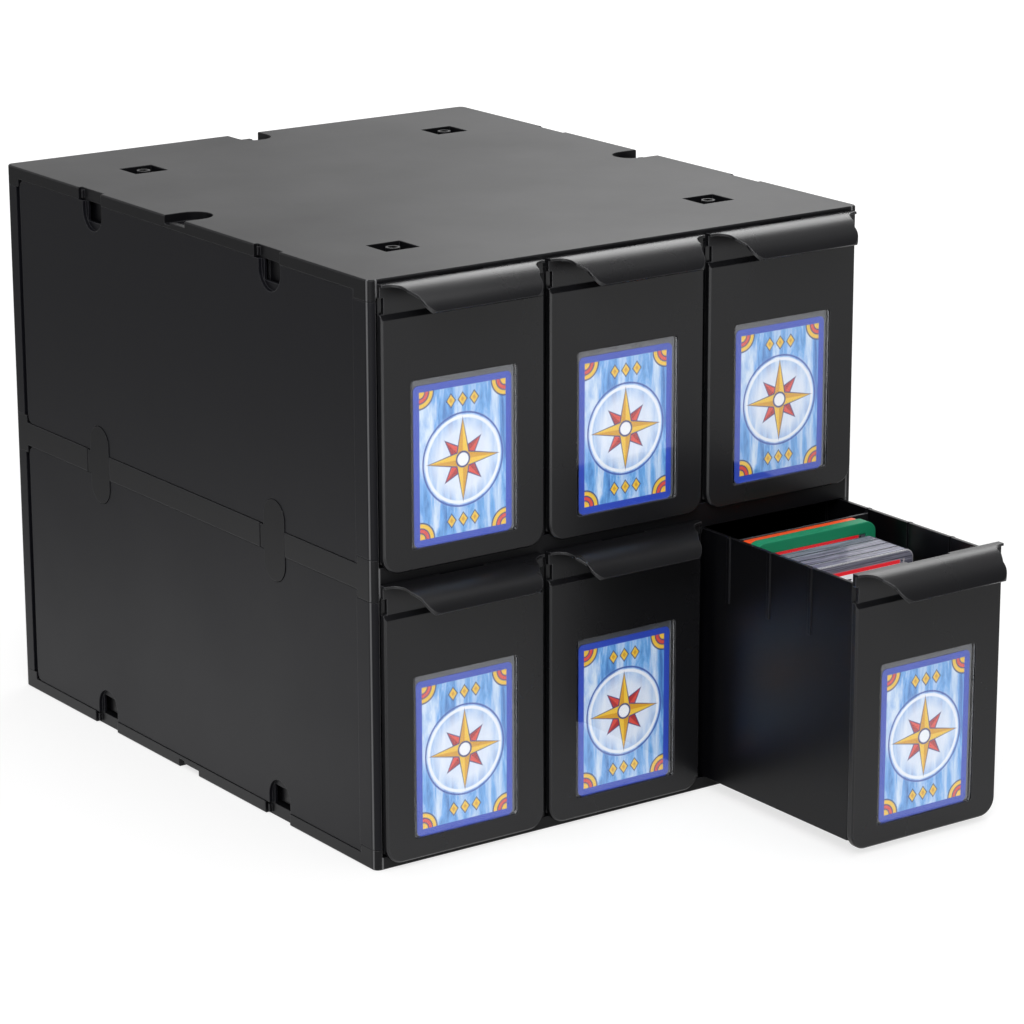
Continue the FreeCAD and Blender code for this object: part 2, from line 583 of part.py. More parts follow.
# ---------------------------------------------------------------- one drawer, in its bay's frame
# x = 0 is the middle of the bay, y = 0 the face of the cabinet, z = 0 the foot of the tier.
def tray():
    """The open box of a drawer: four walls and a floor on two runners.

    Short channels in the side walls take divider plates; each shows as a rib outside.
    The pad on the front wall backs the display card in the window.
    """
    body = doc.addObject("PartDesign::Body", "tray")
    half = "(%s / 2)" % TRAY_WIDE
    near, far = "(-%s)" % GAP, "(Sizes.tray_length - %s)" % GAP
    shell = outline(body, "tray_plan", "XY_Plane", TRAY_BASE, rectangle("-" + half, near, half, far))
    solid = extrude(body, "Pad", "tray_block", shell, "%s - %s" % (TRAY_RIM, TRAY_BASE))
    soften(body, "tray_corners", solid, "Sizes.tray_corner", lambda edge: along(edge, Z),
           kind="Chamfer")
    wall = "Sizes.tray_wall"
    hollow = outline(body, "tray_inside", "XY_Plane", "(%s + %s)" % (TRAY_BASE, wall), rectangle(
        "(-%s + %s)" % (half, wall), "(%s + %s)" % (near, wall),
        "(%s - %s)" % (half, wall), "(%s - %s)" % (far, wall)))
    cut_away(body, "tray_hollow", hollow, "%s - %s" % (TRAY_RIM, TRAY_BASE), backwards=True)
    for side, sign in (("left", -1), ("right", 1)):
        first = "Sizes.channel_first"
        edges = sorted(("(%d * %s)" % (sign, half), "(%d * (%s + Sizes.channel_rise))" % (sign, half)),
                       key=value)
        low = "(%s - Sizes.channel_drop)" % TRAY_RIM
        rib_plan = outline(body, "tray_rib_plan_" + side, "XY_Plane", low, rectangle(
            edges[0], "%s - Sizes.channel_width / 2" % first,
            edges[1], "%s + Sizes.channel_width / 2" % first))
        rib = extrude(body, "Pad", "tray_rib_" + side, rib_plan, "Sizes.channel_drop")
        inner = sorted(("(%d * (%s - %s))" % (sign, half, wall),
                        "(%d * (%s - %s + Sizes.slot_depth))" % (sign, half, wall)), key=value)
        slot_plan = outline(body, "tray_slot_plan_" + side, "XY_Plane", low, rectangle(
            inner[0], "%s - Sizes.slot_width / 2" % first, inner[1], "%s + Sizes.slot_width / 2" % first))
        slot = cut_away(body, "tray_slot_" + side, slot_plan, "Sizes.channel_drop", backwards=True)
        row = body.newObject("PartDesign::LinearPattern", "tray_channels_" + side)
        row.Originals = [rib, slot]
        row.Direction = (next(item for item in body.Origin.OriginFeatures if item.Role == "Y_Axis"), [""])
        row.setExpression("Length", "(Sizes.channel_count - 1) * Sizes.channel_pitch")
        row.Occurrences = int(value("Sizes.channel_count"))
        body.Tip = row
        doc.recompute()
    for side, sign in (("left", -1), ("right", 1)):
        middle = "(%d * (%s - Sizes.runner_inset))" % (sign, half)
        runner_plan = outline(body, "tray_runner_plan_" + side, "XY_Plane",
                              "(Sizes.panel_edge + %s)" % GAP, rectangle(
                                  "%s - Sizes.runner_width / 2" % middle, "Sizes.tray_corner",
                                  "%s + Sizes.runner_width / 2" % middle,
                                  "Sizes.tray_length - 2 * Sizes.tray_corner"))
        extrude(body, "Pad", "tray_runner_" + side, runner_plan, "Sizes.tray_lift - %s" % GAP)
    pad_half = "(Sizes.window_width / 2 - Sizes.pad_margin)"
    pad_plan = outline(body, "tray_pad_plan", "XZ_Plane", GAP, rectangle(
        "-" + pad_half, "(Sizes.window_sill + Sizes.pad_margin)",
        pad_half, "(Sizes.window_sill + Sizes.window_height - Sizes.pad_margin)"))
    pad_depth = ("Sizes.front_thick - Sizes.pane_inset - Sizes.pane_thick - Sizes.card_thick - 2 * %s" % GAP)
    extrude(body, "Pad", "tray_pad", pad_plan, pad_depth)
    return body


def at_plate_rim(edge):
    """Whether an edge bounds the front plate's flat face, below the step and outside the window."""
    spots = [vertex.Point for vertex in edge.Vertexes] + [edge.CenterOfMass]
    on_face = all(abs(spot.y - value(FRONT_FACE)) < 1e-4 for spot in spots)
    beside = abs(edge.CenterOfMass.x) > value("Sizes.window_width / 2") + 1e-3
    below = edge.CenterOfMass.z < value("Sizes.window_sill") - 1e-3
    return on_face and (beside or below) and edge.CenterOfMass.z < value(STEP) - 1e-3


def at_window_corner(edge):
    """Whether an edge is one of the four that run through the front plate at the window's corners."""
    across = abs(abs(edge.CenterOfMass.x) - value("Sizes.window_width / 2")) < 1e-3
    return across and along(edge, Y)


def drawer_front():
    """The moulded front of a drawer: a plate with a window and a hooded pull.

    Its section is drawn from the side and drawn out over the width, so plate, step and hood
    are one skin; the hood's ends are then trimmed to their swept plan.
    """
    body = doc.addObject("PartDesign::Body", "drawer_front")
    half = "(%s / 2)" % FRONT_WIDE
    back = "(-%s)" % GAP
    upper = "(%s + Sizes.upper_setback)" % FRONT_FACE
    bend = "(-Sizes.lip_flat)"
    swing = "(Sizes.lip_reach - Sizes.lip_flat)"
    radius = "((%s * %s + Sizes.lip_drop * Sizes.lip_drop) / (2 * Sizes.lip_drop))" % (swing, swing)
    hub = "(%s - %s)" % (FRONT_TOP, radius)
    inner_radius = "(%s - Sizes.lip_wall)" % radius
    under = "(%s + sqrt(%s^2 - (%s - %s)^2))" % (hub, inner_radius, upper, bend)
    tip_in_y = "(%s - %s * %s / %s)" % (bend, swing, inner_radius, radius)
    tip_in_z = "(%s + (%s - Sizes.lip_drop - %s) * %s / %s)" % (hub, FRONT_TOP, hub, inner_radius, radius)
    section = outline(body, "front_section", "YZ_Plane", "-" + half, [
        (back, "Sizes.front_foot"), (back, FRONT_TOP), (bend, FRONT_TOP),
        ("(-Sizes.lip_reach)", "(%s - Sizes.lip_drop)" % FRONT_TOP, "Y"),
        (tip_in_y, tip_in_z, "Y"), (upper, under, "Y"),
        (upper, SHELF),
        (FRONT_FACE, STEP), (FRONT_FACE, "Sizes.front_foot")],
        arcs={2: (bend, hub, True), 4: (bend, hub, False)})
    skin = extrude(body, "Pad", "front_skin", section, FRONT_WIDE)
    corners = soften(body, "front_corners", skin, "Sizes.front_corner", lambda edge: (
        along(edge, Y) and edge.CenterOfMass.z < value("Sizes.front_foot") + 1e-3))

    start = "(Sizes.front_thick + 2 * %s)" % GAP
    beyond = "(%s + Sizes.cut_past)" % half
    flare_y = "(-%s - Sizes.lip_flare)" % start
    nose_y = "(-Sizes.lip_reach + Sizes.lip_corner)"
    nose_x = "(Sizes.lip_tip - Sizes.lip_corner)"
    clear_y = "(-Sizes.lip_reach - Sizes.cut_past)"
    trim_plan = outline(body, "front_trim_plan", "XY_Plane", STEP, [
        (beyond, "-" + start), ("(Sizes.lip_root + Sizes.lip_flare)", "-" + start),
        ("Sizes.lip_root", flare_y, "X"), ("Sizes.lip_tip", nose_y),
        (nose_x, "(-Sizes.lip_reach)", "Y"),
        (nose_x, clear_y), (beyond, clear_y)],
        arcs={1: ("(Sizes.lip_root + Sizes.lip_flare)", flare_y, True), 3: (nose_x, nose_y, False)})
    trim = cut_away(body, "front_trim", trim_plan, TIER, backwards=True)
    mirror_plane = next(item for item in body.Origin.OriginFeatures if item.Role == "YZ_Plane")
    both = body.newObject("PartDesign::Mirrored", "front_trim_both")
    both.Originals = [trim]
    both.MirrorPlane = (mirror_plane, [""])
    body.Tip = both
    doc.recompute()

    for side, sign in (("left", -1), ("right", 1)):
        edges = sorted(("(%d * (%s - Sizes.ear_notch))" % (sign, half), "(%d * %s)" % (sign, beyond)),
                       key=value)
        ear_plan = outline(body, "front_ear_plan_" + side, "XZ_Plane", "0", rectangle(
            edges[0], SHELF, edges[1], "(%s - Sizes.ear_height)" % FRONT_TOP))
        cut_away(body, "front_ear_" + side, ear_plan, "2 * Sizes.front_thick", backwards=True)
    window_half = "(Sizes.window_width / 2)"
    window_plan = outline(body, "front_window_plan", "XZ_Plane", "0", rectangle(
        "-" + window_half, "Sizes.window_sill", window_half, "(Sizes.window_sill + Sizes.window_height)"))
    window = cut_away(body, "front_window", window_plan, "2 * Sizes.front_thick", backwards=True)
    soften(body, "front_window_corners", window, "Sizes.window_corner", at_window_corner)
    nick_plan = outline(body, "front_nick_plan", "XY_Plane", "(%s - Sizes.nick_drop)" % FRONT_TOP, rectangle(
        "(-Sizes.nick_width / 2)", "(%s - Sizes.nick_depth)" % back, "(Sizes.nick_width / 2)",
        "Sizes.cut_past"))
    nick = cut_away(body, "front_nick", nick_plan, "2 * Sizes.nick_drop", backwards=True)
    soften(body, "front_edges", nick, "Sizes.front_bevel", at_plate_rim, kind="Chamfer")
    return body


def slab_outline(name, width, height, corner, thick, foot, y="0", kind="Fillet"):
    """An upright plate with eased corners, its foot at a height and its front face at y, growing back."""
    body = doc.addObject("PartDesign::Body", name)
    plan = outline(body, name + "_plan", "XZ_Plane", "-(%s)" % y, rectangle(
        "(-%s / 2)" % width, foot, "(%s / 2)" % width, "(%s + %s)" % (foot, height)))
    plate = extrude(body, "Pad", name + "_plate", plan, thick, backwards=True)
    soften(body, name + "_corners", plate, corner, lambda edge: along(edge, Y), kind=kind)
    return body


PANE_Y = "(%s + Sizes.pane_inset)" % FRONT_FACE
CARD_Y = "(%s + Sizes.pane_thick + Sizes.pane_play)" % PANE_Y
tray_master = tray()
front_master = drawer_front()
pane_master = slab_outline(
    "pane", "(Sizes.window_width - 2 * Sizes.pane_play)", "(Sizes.window_height - 2 * Sizes.pane_play)",
    "((2 - sqrt(2)) * (Sizes.window_corner - Sizes.pane_play))", "Sizes.pane_thick",
    "(Sizes.window_sill + Sizes.pane_play)", PANE_Y, kind="Chamfer")
card_master = slab_outline("card", "Sizes.card_width", "Sizes.card_height", "Sizes.card_corner",
                           "Sizes.card_thick", "(Sizes.window_sill + Sizes.pane_play)", CARD_Y)
MASTERS = {"tray": tray_master, "front": front_master, "window_pane": pane_master,
           "display_card": card_master}


def seat(name, master, x, y, z):
    """A copy of a drawer's piece, moved from the bay's frame to its own bay."""
    copy = doc.addObject("Part::Compound", name)
    copy.Links = [master]
    place(copy, x, y, z)
    return finish(name, copy)


COLUMNS = {"left": -1, "middle": 0, "right": 1}
for tier, base in TIERS.items():
    for column, number in COLUMNS.items():
        pulled = (tier, column) == ("lower", "right")
        y = "%s - Sizes.pulled_out" % FACE if pulled else FACE
        for piece, master in MASTERS.items():
            seat("%s_%s_drawer_%s" % (tier, column, piece), master, "%d * %s" % (number, PITCH), y, base)


# ---------------------------------------------------------------- what stands in the open drawer
FLOOR = "(%s + Sizes.tray_wall + %s)" % (TRAY_BASE, GAP)
LEAN = "(-%s / 2 + Sizes.tray_wall + 2 * %s)" % (TRAY_WIDE, GAP)


def into_open_drawer(name, master, x="0", y="0"):
    """Seats a loose piece in the pulled-out drawer."""
    return seat(name, master, "%s + %s" % (PITCH, x), "%s - Sizes.pulled_out + %s" % (FACE, y), "0")


def divider_plate():
    """The drawer's divider: a plate with ears that hang in two facing channels."""
    body = doc.addObject("PartDesign::Body", "divider_plate")
    inner = "(%s / 2 - Sizes.tray_wall)" % TRAY_WIDE
    wide = "(%s + Sizes.slot_depth - %s)" % (inner, GAP)
    narrow = "(%s - %s)" % (inner, GAP)
    top = "(%s - Sizes.divider_top)" % TRAY_RIM
    ear = "(%s - Sizes.divider_ear)" % top
    plan = outline(body, "divider_plan", "XZ_Plane", "(Sizes.divider_thick / 2)", [
        ("-" + narrow, FLOOR), (narrow, FLOOR), (narrow, ear), (wide, ear),
        (wide, top), ("-" + wide, top), ("-" + wide, ear), ("-" + narrow, ear)])
    extrude(body, "Pad", "divider_plate_plate", plan, "Sizes.divider_thick", backwards=True)
    return body


def graded_slab(name, thick):
    """A clear case for one graded card, with a thin well for the card and its label."""
    body = slab_outline(name, "Sizes.slab_width", "Sizes.slab_height", "Sizes.slab_corner",
                        thick, FLOOR)
    well = outline(body, name + "_well_plan", "XY_Plane", FLOOR, rectangle(
        "(-Sizes.slab_width / 2 + Sizes.well_margin)", "((%s - Sizes.slab_well) / 2)" % thick,
        "(Sizes.slab_width / 2 - Sizes.well_margin)", "((%s + Sizes.slab_well) / 2)" % thick))
    cut_away(body, name + "_well_cut", well, "Sizes.slab_height - Sizes.well_top", backwards=True)
    return body


def slab_bumper():
    """A soft green guard that wraps a slab, open in front and behind inside its lip."""
    body = slab_outline("slab_bumper", "(Sizes.slab_width + 2 * Sizes.bumper_wall)",
                        "(Sizes.slab_height + 2 * Sizes.bumper_wall)", "Sizes.bumper_corner",
                        "Sizes.bumper_thick", FLOOR)
    inner = "(Sizes.slab_width / 2 + %s)" % GAP
    low = "(%s + Sizes.bumper_wall - %s)" % (FLOOR, GAP)
    high = "(%s + Sizes.bumper_wall + Sizes.slab_height + %s)" % (FLOOR, GAP)
    middle = "(-(Sizes.bumper_thick - Sizes.guarded_slab_thick) / 2 + %s)" % GAP
    seat_plan = outline(body, "bumper_seat", "XZ_Plane", middle, rectangle("-" + inner, low, inner, high))
    cut_away(body, "bumper_seat_cut", seat_plan, "Sizes.guarded_slab_thick + 2 * %s" % GAP)
    eye = "(Sizes.slab_width / 2 - Sizes.bumper_lip)"
    eye_plan = outline(body, "bumper_eye", "XZ_Plane", "0", rectangle(
        "-" + eye, "(%s + Sizes.bumper_lip)" % low, eye, "(%s - Sizes.bumper_lip)" % high))
    cut_away(body, "bumper_eye_cut", eye_plan, "Sizes.bumper_thick")
    return body


def to_wall(width):
    """How far a loose piece moves left to rest against the tray's wall."""
    return "(%s + %s / 2)" % (LEAN, width)


divider_y = "(Sizes.channel_first + Sizes.divider_steps * Sizes.channel_pitch)"
into_open_drawer("drawer_divider_plate", divider_plate(), y=divider_y)
holder_y = "(%s - Sizes.divider_thick / 2 - Sizes.holder_gap - Sizes.holder_thick)" % divider_y
holder_tall = "(Sizes.slab_height + 2 * Sizes.bumper_wall - Sizes.holder_top)"
holder = slab_outline("card_holder", "Sizes.holder_width", holder_tall, "Sizes.holder_corner",
                      "Sizes.holder_thick", FLOOR)
into_open_drawer("orange_card_holder", holder, to_wall("Sizes.holder_width"), holder_y)

bumper_wide = "(Sizes.slab_width + 2 * Sizes.bumper_wall)"
bumper_y = "(%s - Sizes.bumper_gap - Sizes.bumper_thick)" % holder_y
into_open_drawer("green_slab_bumper", slab_bumper(), to_wall(bumper_wide), bumper_y)
thin_slab = graded_slab("guarded_slab", "Sizes.guarded_slab_thick")
seat("slab_in_bumper", thin_slab, "%s + %s" % (PITCH, to_wall(bumper_wide)),
     "%s - Sizes.pulled_out + %s + (Sizes.bumper_thick - Sizes.guarded_slab_thick) / 2" % (FACE, bumper_y),
     "Sizes.bumper_wall")

SLABS = 4
slab = graded_slab("graded_slab", "Sizes.slab_thick")
row_end = "(%s - Sizes.row_gap + Sizes.slab_gap)" % bumper_y
for number in range(1, SLABS + 1):
    y = "(%s - %d * (Sizes.slab_gap + Sizes.slab_thick))" % (row_end, number)
    into_open_drawer("graded_slab_%d" % number, slab, to_wall("Sizes.slab_width"), y)

# ---------------------------------------------------------------- check and write
doc.recompute()
failed = [item.Label for item in doc.Objects if "Invalid" in item.State or "Error" in item.State]
failed += [part.Label for part in parts if part.Shape.isNull() or not part.Shape.isValid()]
if failed:
    raise SystemExit("failed: " + ", ".join(failed))
os.makedirs("parts", exist_ok=True)
for part in parts:
    part.Shape.exportStep("parts/%s.step" % part.Label)
print(len(parts), "sub-parts, volume",
      round(sum(part.Shape.Volume for part in parts) / 1000), "cm3")
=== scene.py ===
"""Looks of the trading card drawer box: two black tiers of three pull-out card drawers.

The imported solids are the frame.  Each section below finishes one piece or one group of like
pieces, in the order in which the box is put together.  Lengths are in metres; they are in
millimetres inside the printed and drawn patterns, and where a name ends in MM.
"""

import bpy
import numpy as np
from mathutils import Matrix, Vector


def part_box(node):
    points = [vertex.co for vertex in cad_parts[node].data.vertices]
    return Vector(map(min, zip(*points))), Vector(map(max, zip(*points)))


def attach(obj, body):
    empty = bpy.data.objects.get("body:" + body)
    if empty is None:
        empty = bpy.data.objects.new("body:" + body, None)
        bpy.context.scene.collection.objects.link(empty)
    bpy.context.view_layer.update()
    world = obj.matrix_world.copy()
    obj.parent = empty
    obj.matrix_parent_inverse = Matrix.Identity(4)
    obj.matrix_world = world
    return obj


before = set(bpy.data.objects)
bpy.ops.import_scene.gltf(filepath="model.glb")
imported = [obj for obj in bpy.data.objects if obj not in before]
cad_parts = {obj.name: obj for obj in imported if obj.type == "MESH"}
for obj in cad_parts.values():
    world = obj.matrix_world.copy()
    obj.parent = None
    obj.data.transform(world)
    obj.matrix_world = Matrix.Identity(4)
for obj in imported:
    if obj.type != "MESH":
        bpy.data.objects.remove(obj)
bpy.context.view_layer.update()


# ---------------------------------------------------------------- top, bottom and middle panels
# Three flat mouldings in black ABS carry the whole box.  They have a fine spark-eroded grain
# and just-broken arrises lightened by a painted highlight, two painted highlights as pale lines
# down each front post, and screw bosses whose mouths are dulled and darkened by painted shade
# inside a thin glossy ring.
BOSS_X_MM, BOSS_Y_MM, BOSS_MOUTH_MM = 107.5, 132.5, 2.7
# The colour of the boss mouths is painted shade.
BOSS_MOUTH_SHADE = (0.0005, 0.0005, 0.0006, 1)
# Colours and places of the painted highlights down the front posts.
ROUND_HIGHLIGHT, ROUND_LINE_MM = (0.16, 0.16, 0.165, 1), 2.5
INNER_HIGHLIGHT, INNER_LINE_MM = (0.2, 0.2, 0.205, 1), 4.6
LINE_HALF_MM, ON_SIDE_MM, ON_FRONT_MM = 0.5, 1.2, 0.8
WHITE = (1, 1, 1, 1)


def new_group(name, inputs, outputs):
    """An empty shader node group with its sockets, as (tree, its inputs, its output node)."""
    tree = bpy.data.node_groups.new(name, "ShaderNodeTree")
    for label, kind, start in inputs:
        socket = tree.interface.new_socket(label, in_out="INPUT", socket_type="NodeSocket" + kind)
        socket.default_value = start
    for label, kind in outputs:
        tree.interface.new_socket(label, in_out="OUTPUT", socket_type="NodeSocket" + kind)
    return tree, tree.nodes.new("NodeGroupInput").outputs, tree.nodes.new("NodeGroupOutput")


def feed(tree, node, **inputs):
    """Fills a node's inputs with numbers, colours or the sockets that feed them.

    An input is named with _ for each space, or by its place as _0, _1 and so on.
    """
    for name, given in inputs.items():
        place = int(name[1:]) if name[1:].isdigit() else name.replace("_", " ")
        if isinstance(given, bpy.types.NodeSocket):
            tree.links.new(given, node.inputs[place])
        else:
            node.inputs[place].default_value = given


def put(tree, kind, settings=None, **inputs):
    """Adds a shader node with its settings and its inputs."""
    node = tree.nodes.new("ShaderNode" + kind)
    for name, setting in (settings or {}).items():
        setattr(node, name, setting)
    feed(tree, node, **inputs)
    return node


def place_group(tree, group, **inputs):
    """Places a node group with its inputs, and gives its outputs."""
    return put(tree, "Group", {"node_tree": group}, **inputs).outputs


def new_material(name):
    """An empty material, as (material, its node tree, its Principled shader)."""
    material = bpy.data.materials.new(name)
    material.use_nodes = True
    return material, material.node_tree, material.node_tree.nodes["Principled BSDF"]


class Sums:
    """Math nodes written as plain sums: each call returns the socket of one result."""

    def __init__(self, tree):
        self.tree = tree

    def __call__(self, operation, *terms):
        node = put(self.tree, "Math", {"operation": operation},
                   **{"_%d" % number: term for number, term in enumerate(terms)})
        return node.outputs[0]

    def stretch(self, amount, start, end, first=0.0, last=1.0):
        """Runs straight from first at start to last at end, and stays there past them."""
        node = put(self.tree, "MapRange", _0=amount, _1=start, _2=end, _3=first, _4=last)
        return node.outputs[0]

    def below(self, amount, limit, soft=0.25):
        """1 where an amount is under a limit, 0 above, over a soft step."""
        return self.stretch(amount, limit - soft, limit + soft, 1.0, 0.0)

    def band(self, amount, middle, half, soft=0.25):
        """1 where an amount is within half of a middle value."""
        return self.below(self("ABSOLUTE", self("SUBTRACT", amount, middle)), half, soft)

    def reach(self, across, up):
        """How far (across, up) is from the middle: the root of the sum of the squares."""
        return self("SQRT", self("ADD", self("MULTIPLY", across, across), self("MULTIPLY", up, up)))

    def over(self, under, colour, mask):
        """A colour laid over another through a mask."""
        return put(self.tree, "Mix", {"data_type": "RGBA"}, _0=mask, _6=under, _7=colour).outputs[2]


def moulded_surface():
    """Grain, rounded edges and slow mottling of a moulded plastic face, as a group.

    Normal is the surface turned by the rounding of near edges and by a fine noise.  Edge runs
    from 0 on a flat to 1 where the rounding turns the face by 37 degrees, whose cosine is 0.8.
    Mottle is a slow cloud from 0 to 1.
    """
    tree, given, out = new_group(
        "Moulded surface",
        [("Grain size", "Float", 0.0006), ("Grain depth", "Float", 0.00002),
         ("Edge radius", "Float", 0.0006)],
        [("Normal", "Vector"), ("Edge", "Float"), ("Mottle", "Float")])
    sums = Sums(tree)
    spot = put(tree, "TexCoord").outputs["Object"]
    rounded = put(tree, "Bevel", {"samples": 4}, Radius=given["Edge radius"]).outputs[0]
    flat = put(tree, "NewGeometry").outputs["True Normal"]
    agree = put(tree, "VectorMath", {"operation": "DOT_PRODUCT"}, _0=rounded, _1=flat)
    grain = put(tree, "TexNoise", Vector=spot, Scale=sums("DIVIDE", 1.0, given["Grain size"]),
                Detail=3.0, Roughness=0.6)
    bump = put(tree, "Bump", Strength=1.0, Distance=given["Grain depth"],
               Height=grain.outputs["Fac"], Normal=rounded)
    cloud = put(tree, "TexNoise", Vector=spot, Scale=9.0, Detail=5.0, Roughness=0.55)
    feed(tree, out, Normal=bump.outputs[0], Mottle=cloud.outputs["Fac"],
         Edge=sums.stretch(agree.outputs["Value"], 0.995, 0.8))
    return tree


MOULDED = moulded_surface()


def moulded_plastic(name, colour, edge_colour, gloss, gloss_drift, shine, grain, depth, edge):
    """Opaque plastic: colour lifted on the edges as a painted highlight, and a roughness that
    drifts slowly over the face.

    gloss is the mean roughness and gloss_drift how far it moves; shine is the specular level;
    grain and depth are the grain's pitch and height, and edge the radius of the arrises.
    """
    material, tree, skin = new_material(name)
    sums = Sums(tree)
    surface = place_group(tree, MOULDED, Grain_size=grain, Grain_depth=depth, Edge_radius=edge)
    # The edge colour laid over the arrises is a painted highlight.
    feed(tree, skin, Specular_IOR_Level=shine, Normal=surface["Normal"],
         Base_Color=sums.over((*colour, 1), (*edge_colour, 1), surface["Edge"]),
         Roughness=sums.stretch(surface["Mottle"], 0.3, 0.7, gloss - gloss_drift, gloss + gloss_drift))
    return material


def finish_node(name, material):
    """Gives a solid of the frame its finish in every material slot."""
    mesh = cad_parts[name].data
    if not mesh.materials:
        mesh.materials.append(material)
    for number in range(len(mesh.materials)):
        mesh.materials[number] = material


def plan_mm(tree):
    """The place on a solid as seen from above, in mm, as its sums, x and y."""
    sums = Sums(tree)
    spot = put(tree, "SeparateXYZ", Vector=put(tree, "TexCoord").outputs["Object"]).outputs
    return sums, sums("MULTIPLY", spot[0], 1000.0), sums("MULTIPLY", spot[1], 1000.0)


def shade_and_dull_bosses(material):
    """Paints shade into the mouths of the four screw bosses, darkening and dulling the plastic there.

    The bosses lie symmetrically, so a place's distance is that of (|x|, |y|) from one of them.
    """
    tree = material.node_tree
    skin = tree.nodes["Principled BSDF"]
    sums, x, y = plan_mm(tree)
    distance = sums.reach(sums("SUBTRACT", sums("ABSOLUTE", x), BOSS_X_MM),
                          sums("SUBTRACT", sums("ABSOLUTE", y), BOSS_Y_MM))
    mouth = sums.below(distance, BOSS_MOUTH_MM, 0.1)
    colour = skin.inputs["Base Color"].links[0].from_socket
    rough = skin.inputs["Roughness"].links[0].from_socket
    feed(tree, skin, Base_Color=sums.over(colour, BOSS_MOUTH_SHADE, mouth),
         Roughness=put(tree, "Mix", _0=mouth, _2=rough, _3=1.0).outputs[0])


def post_highlights():
    """Two painted highlights, pale lines down each front post, laid over the colour Under, as a group.

    One is where the post's round starts, the other by its inner edge.  Aside is how far a place
    is in from the side's outer face, and behind how far it is back from the post's front.
    """
    tree, given, out = new_group("Front post highlights", [("Under", "Color", WHITE)],
                                 [("Lined", "Color")])
    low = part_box("lower_left_side_panel")[0]
    sums, x, y = plan_mm(tree)
    aside = sums("SUBTRACT", -low.x * 1000, sums("ABSOLUTE", x))
    behind = sums("SUBTRACT", y, low.y * 1000)
    on_round = sums("MULTIPLY", sums.band(behind, ROUND_LINE_MM, LINE_HALF_MM, 0.2),
                    sums.below(aside, ON_SIDE_MM, 0.1))
    on_front = sums("MULTIPLY", sums.band(aside, INNER_LINE_MM, LINE_HALF_MM, 0.2),
                    sums.below(behind, ON_FRONT_MM, 0.1))
    round_highlighted = sums.over(given["Under"], ROUND_HIGHLIGHT, on_round)
    feed(tree, out, Lined=sums.over(round_highlighted, INNER_HIGHLIGHT, on_front))
    return tree


POST_HIGHLIGHTS = post_highlights()


def highlight_posts(material):
    """Lays the posts' painted highlights over a plastic's colour."""
    tree = material.node_tree
    skin = tree.nodes["Principled BSDF"]
    under = skin.inputs["Base Color"].links[0].from_socket
    feed(tree, skin, Base_Color=place_group(tree, POST_HIGHLIGHTS, Under=under)["Lined"])


housing = moulded_plastic("Black housing", colour=(0.006, 0.006, 0.0072),
                          edge_colour=(0.045, 0.045, 0.049), gloss=0.36, gloss_drift=0.03,
                          shine=0.22, grain=0.0009, depth=0.000012, edge=0.0008)
shade_and_dull_bosses(housing)
highlight_posts(housing)
for panel in ("top_panel", "bottom_panel", "middle_panel"):
    finish_node(panel, housing)

# ---------------------------------------------------------------- side, back and dividing walls
# Black ABS walls that slide down into the panels.  The sides and backs have a slightly coarser
# grain than the panels, which takes their gloss down, and the same painted highlights as pale
# lines on their posts; the dividers inside are finished as the panels are.
TIERS = ("lower", "upper")
side_wall = moulded_plastic("Black side wall", colour=(0.006, 0.006, 0.0085),
                            edge_colour=(0.045, 0.045, 0.05), gloss=0.4, gloss_drift=0.04,
                            shine=0.2, grain=0.0007, depth=0.00002, edge=0.0008)
highlight_posts(side_wall)
for tier in TIERS:
    for side in ("left", "right"):
        finish_node(f"{tier}_{side}_side_panel", side_wall)
        finish_node(f"{tier}_{side}_bay_divider", housing)
    finish_node(f"{tier}_back_panel", side_wall)

# ---------------------------------------------------------------- connector clips
# Flat clips with round ends, moulded in the same black plastic.  They are pressed flush into
# sockets in the sides, across the middle panel, and hold the two tiers together.
clip = moulded_plastic("Black clip", colour=(0.006, 0.006, 0.0072), edge_colour=(0.06, 0.06, 0.065),
                       gloss=0.36, gloss_drift=0.02, shine=0.18, grain=0.0005, depth=0.00001,
                       edge=0.0005)
for side in ("left", "right"):
    finish_node(f"{side}_connector_clips", clip)

# ---------------------------------------------------------------- drawer trays
# Open boxes moulded in a smooth near-black plastic, with upright channels for divider plates.
# The one plate in use hangs in the open drawer, with a strong painted highlight along its edges.
COLUMNS = ("left", "middle", "right")
DRAWERS = [f"{tier}_{column}_drawer" for tier in TIERS for column in COLUMNS]
tray = moulded_plastic("Black tray", colour=(0.003, 0.003, 0.0042), edge_colour=(0.04, 0.04, 0.045),
                       gloss=0.3, gloss_drift=0.04, shine=0.3, grain=0.0008, depth=0.000008,
                       edge=0.0005)
for drawer in DRAWERS:
    finish_node(f"{drawer}_tray", tray)
# Its pale edge colour is a painted highlight.
plate = moulded_plastic("Divider plate", colour=(0.012, 0.012, 0.014), edge_colour=(0.3, 0.3, 0.32),
                        gloss=0.35, gloss_drift=0.04, shine=0.4, grain=0.0008, depth=0.000008,
                        edge=0.0006)
finish_node("drawer_divider_plate", plate)

# ---------------------------------------------------------------- drawer fronts
# One smooth black moulding each, glossier than the housing and set on the end of its tray: a
# framed plate under a hood that the fingers pull.
front = moulded_plastic("Black drawer front", colour=(0.008, 0.008, 0.0094),
                        edge_colour=(0.09, 0.09, 0.096), gloss=0.28, gloss_drift=0.03, shine=0.5,
                        grain=0.0012, depth=0.00001, edge=0.0007)
for drawer in DRAWERS:
    finish_node(f"{drawer}_front", front)


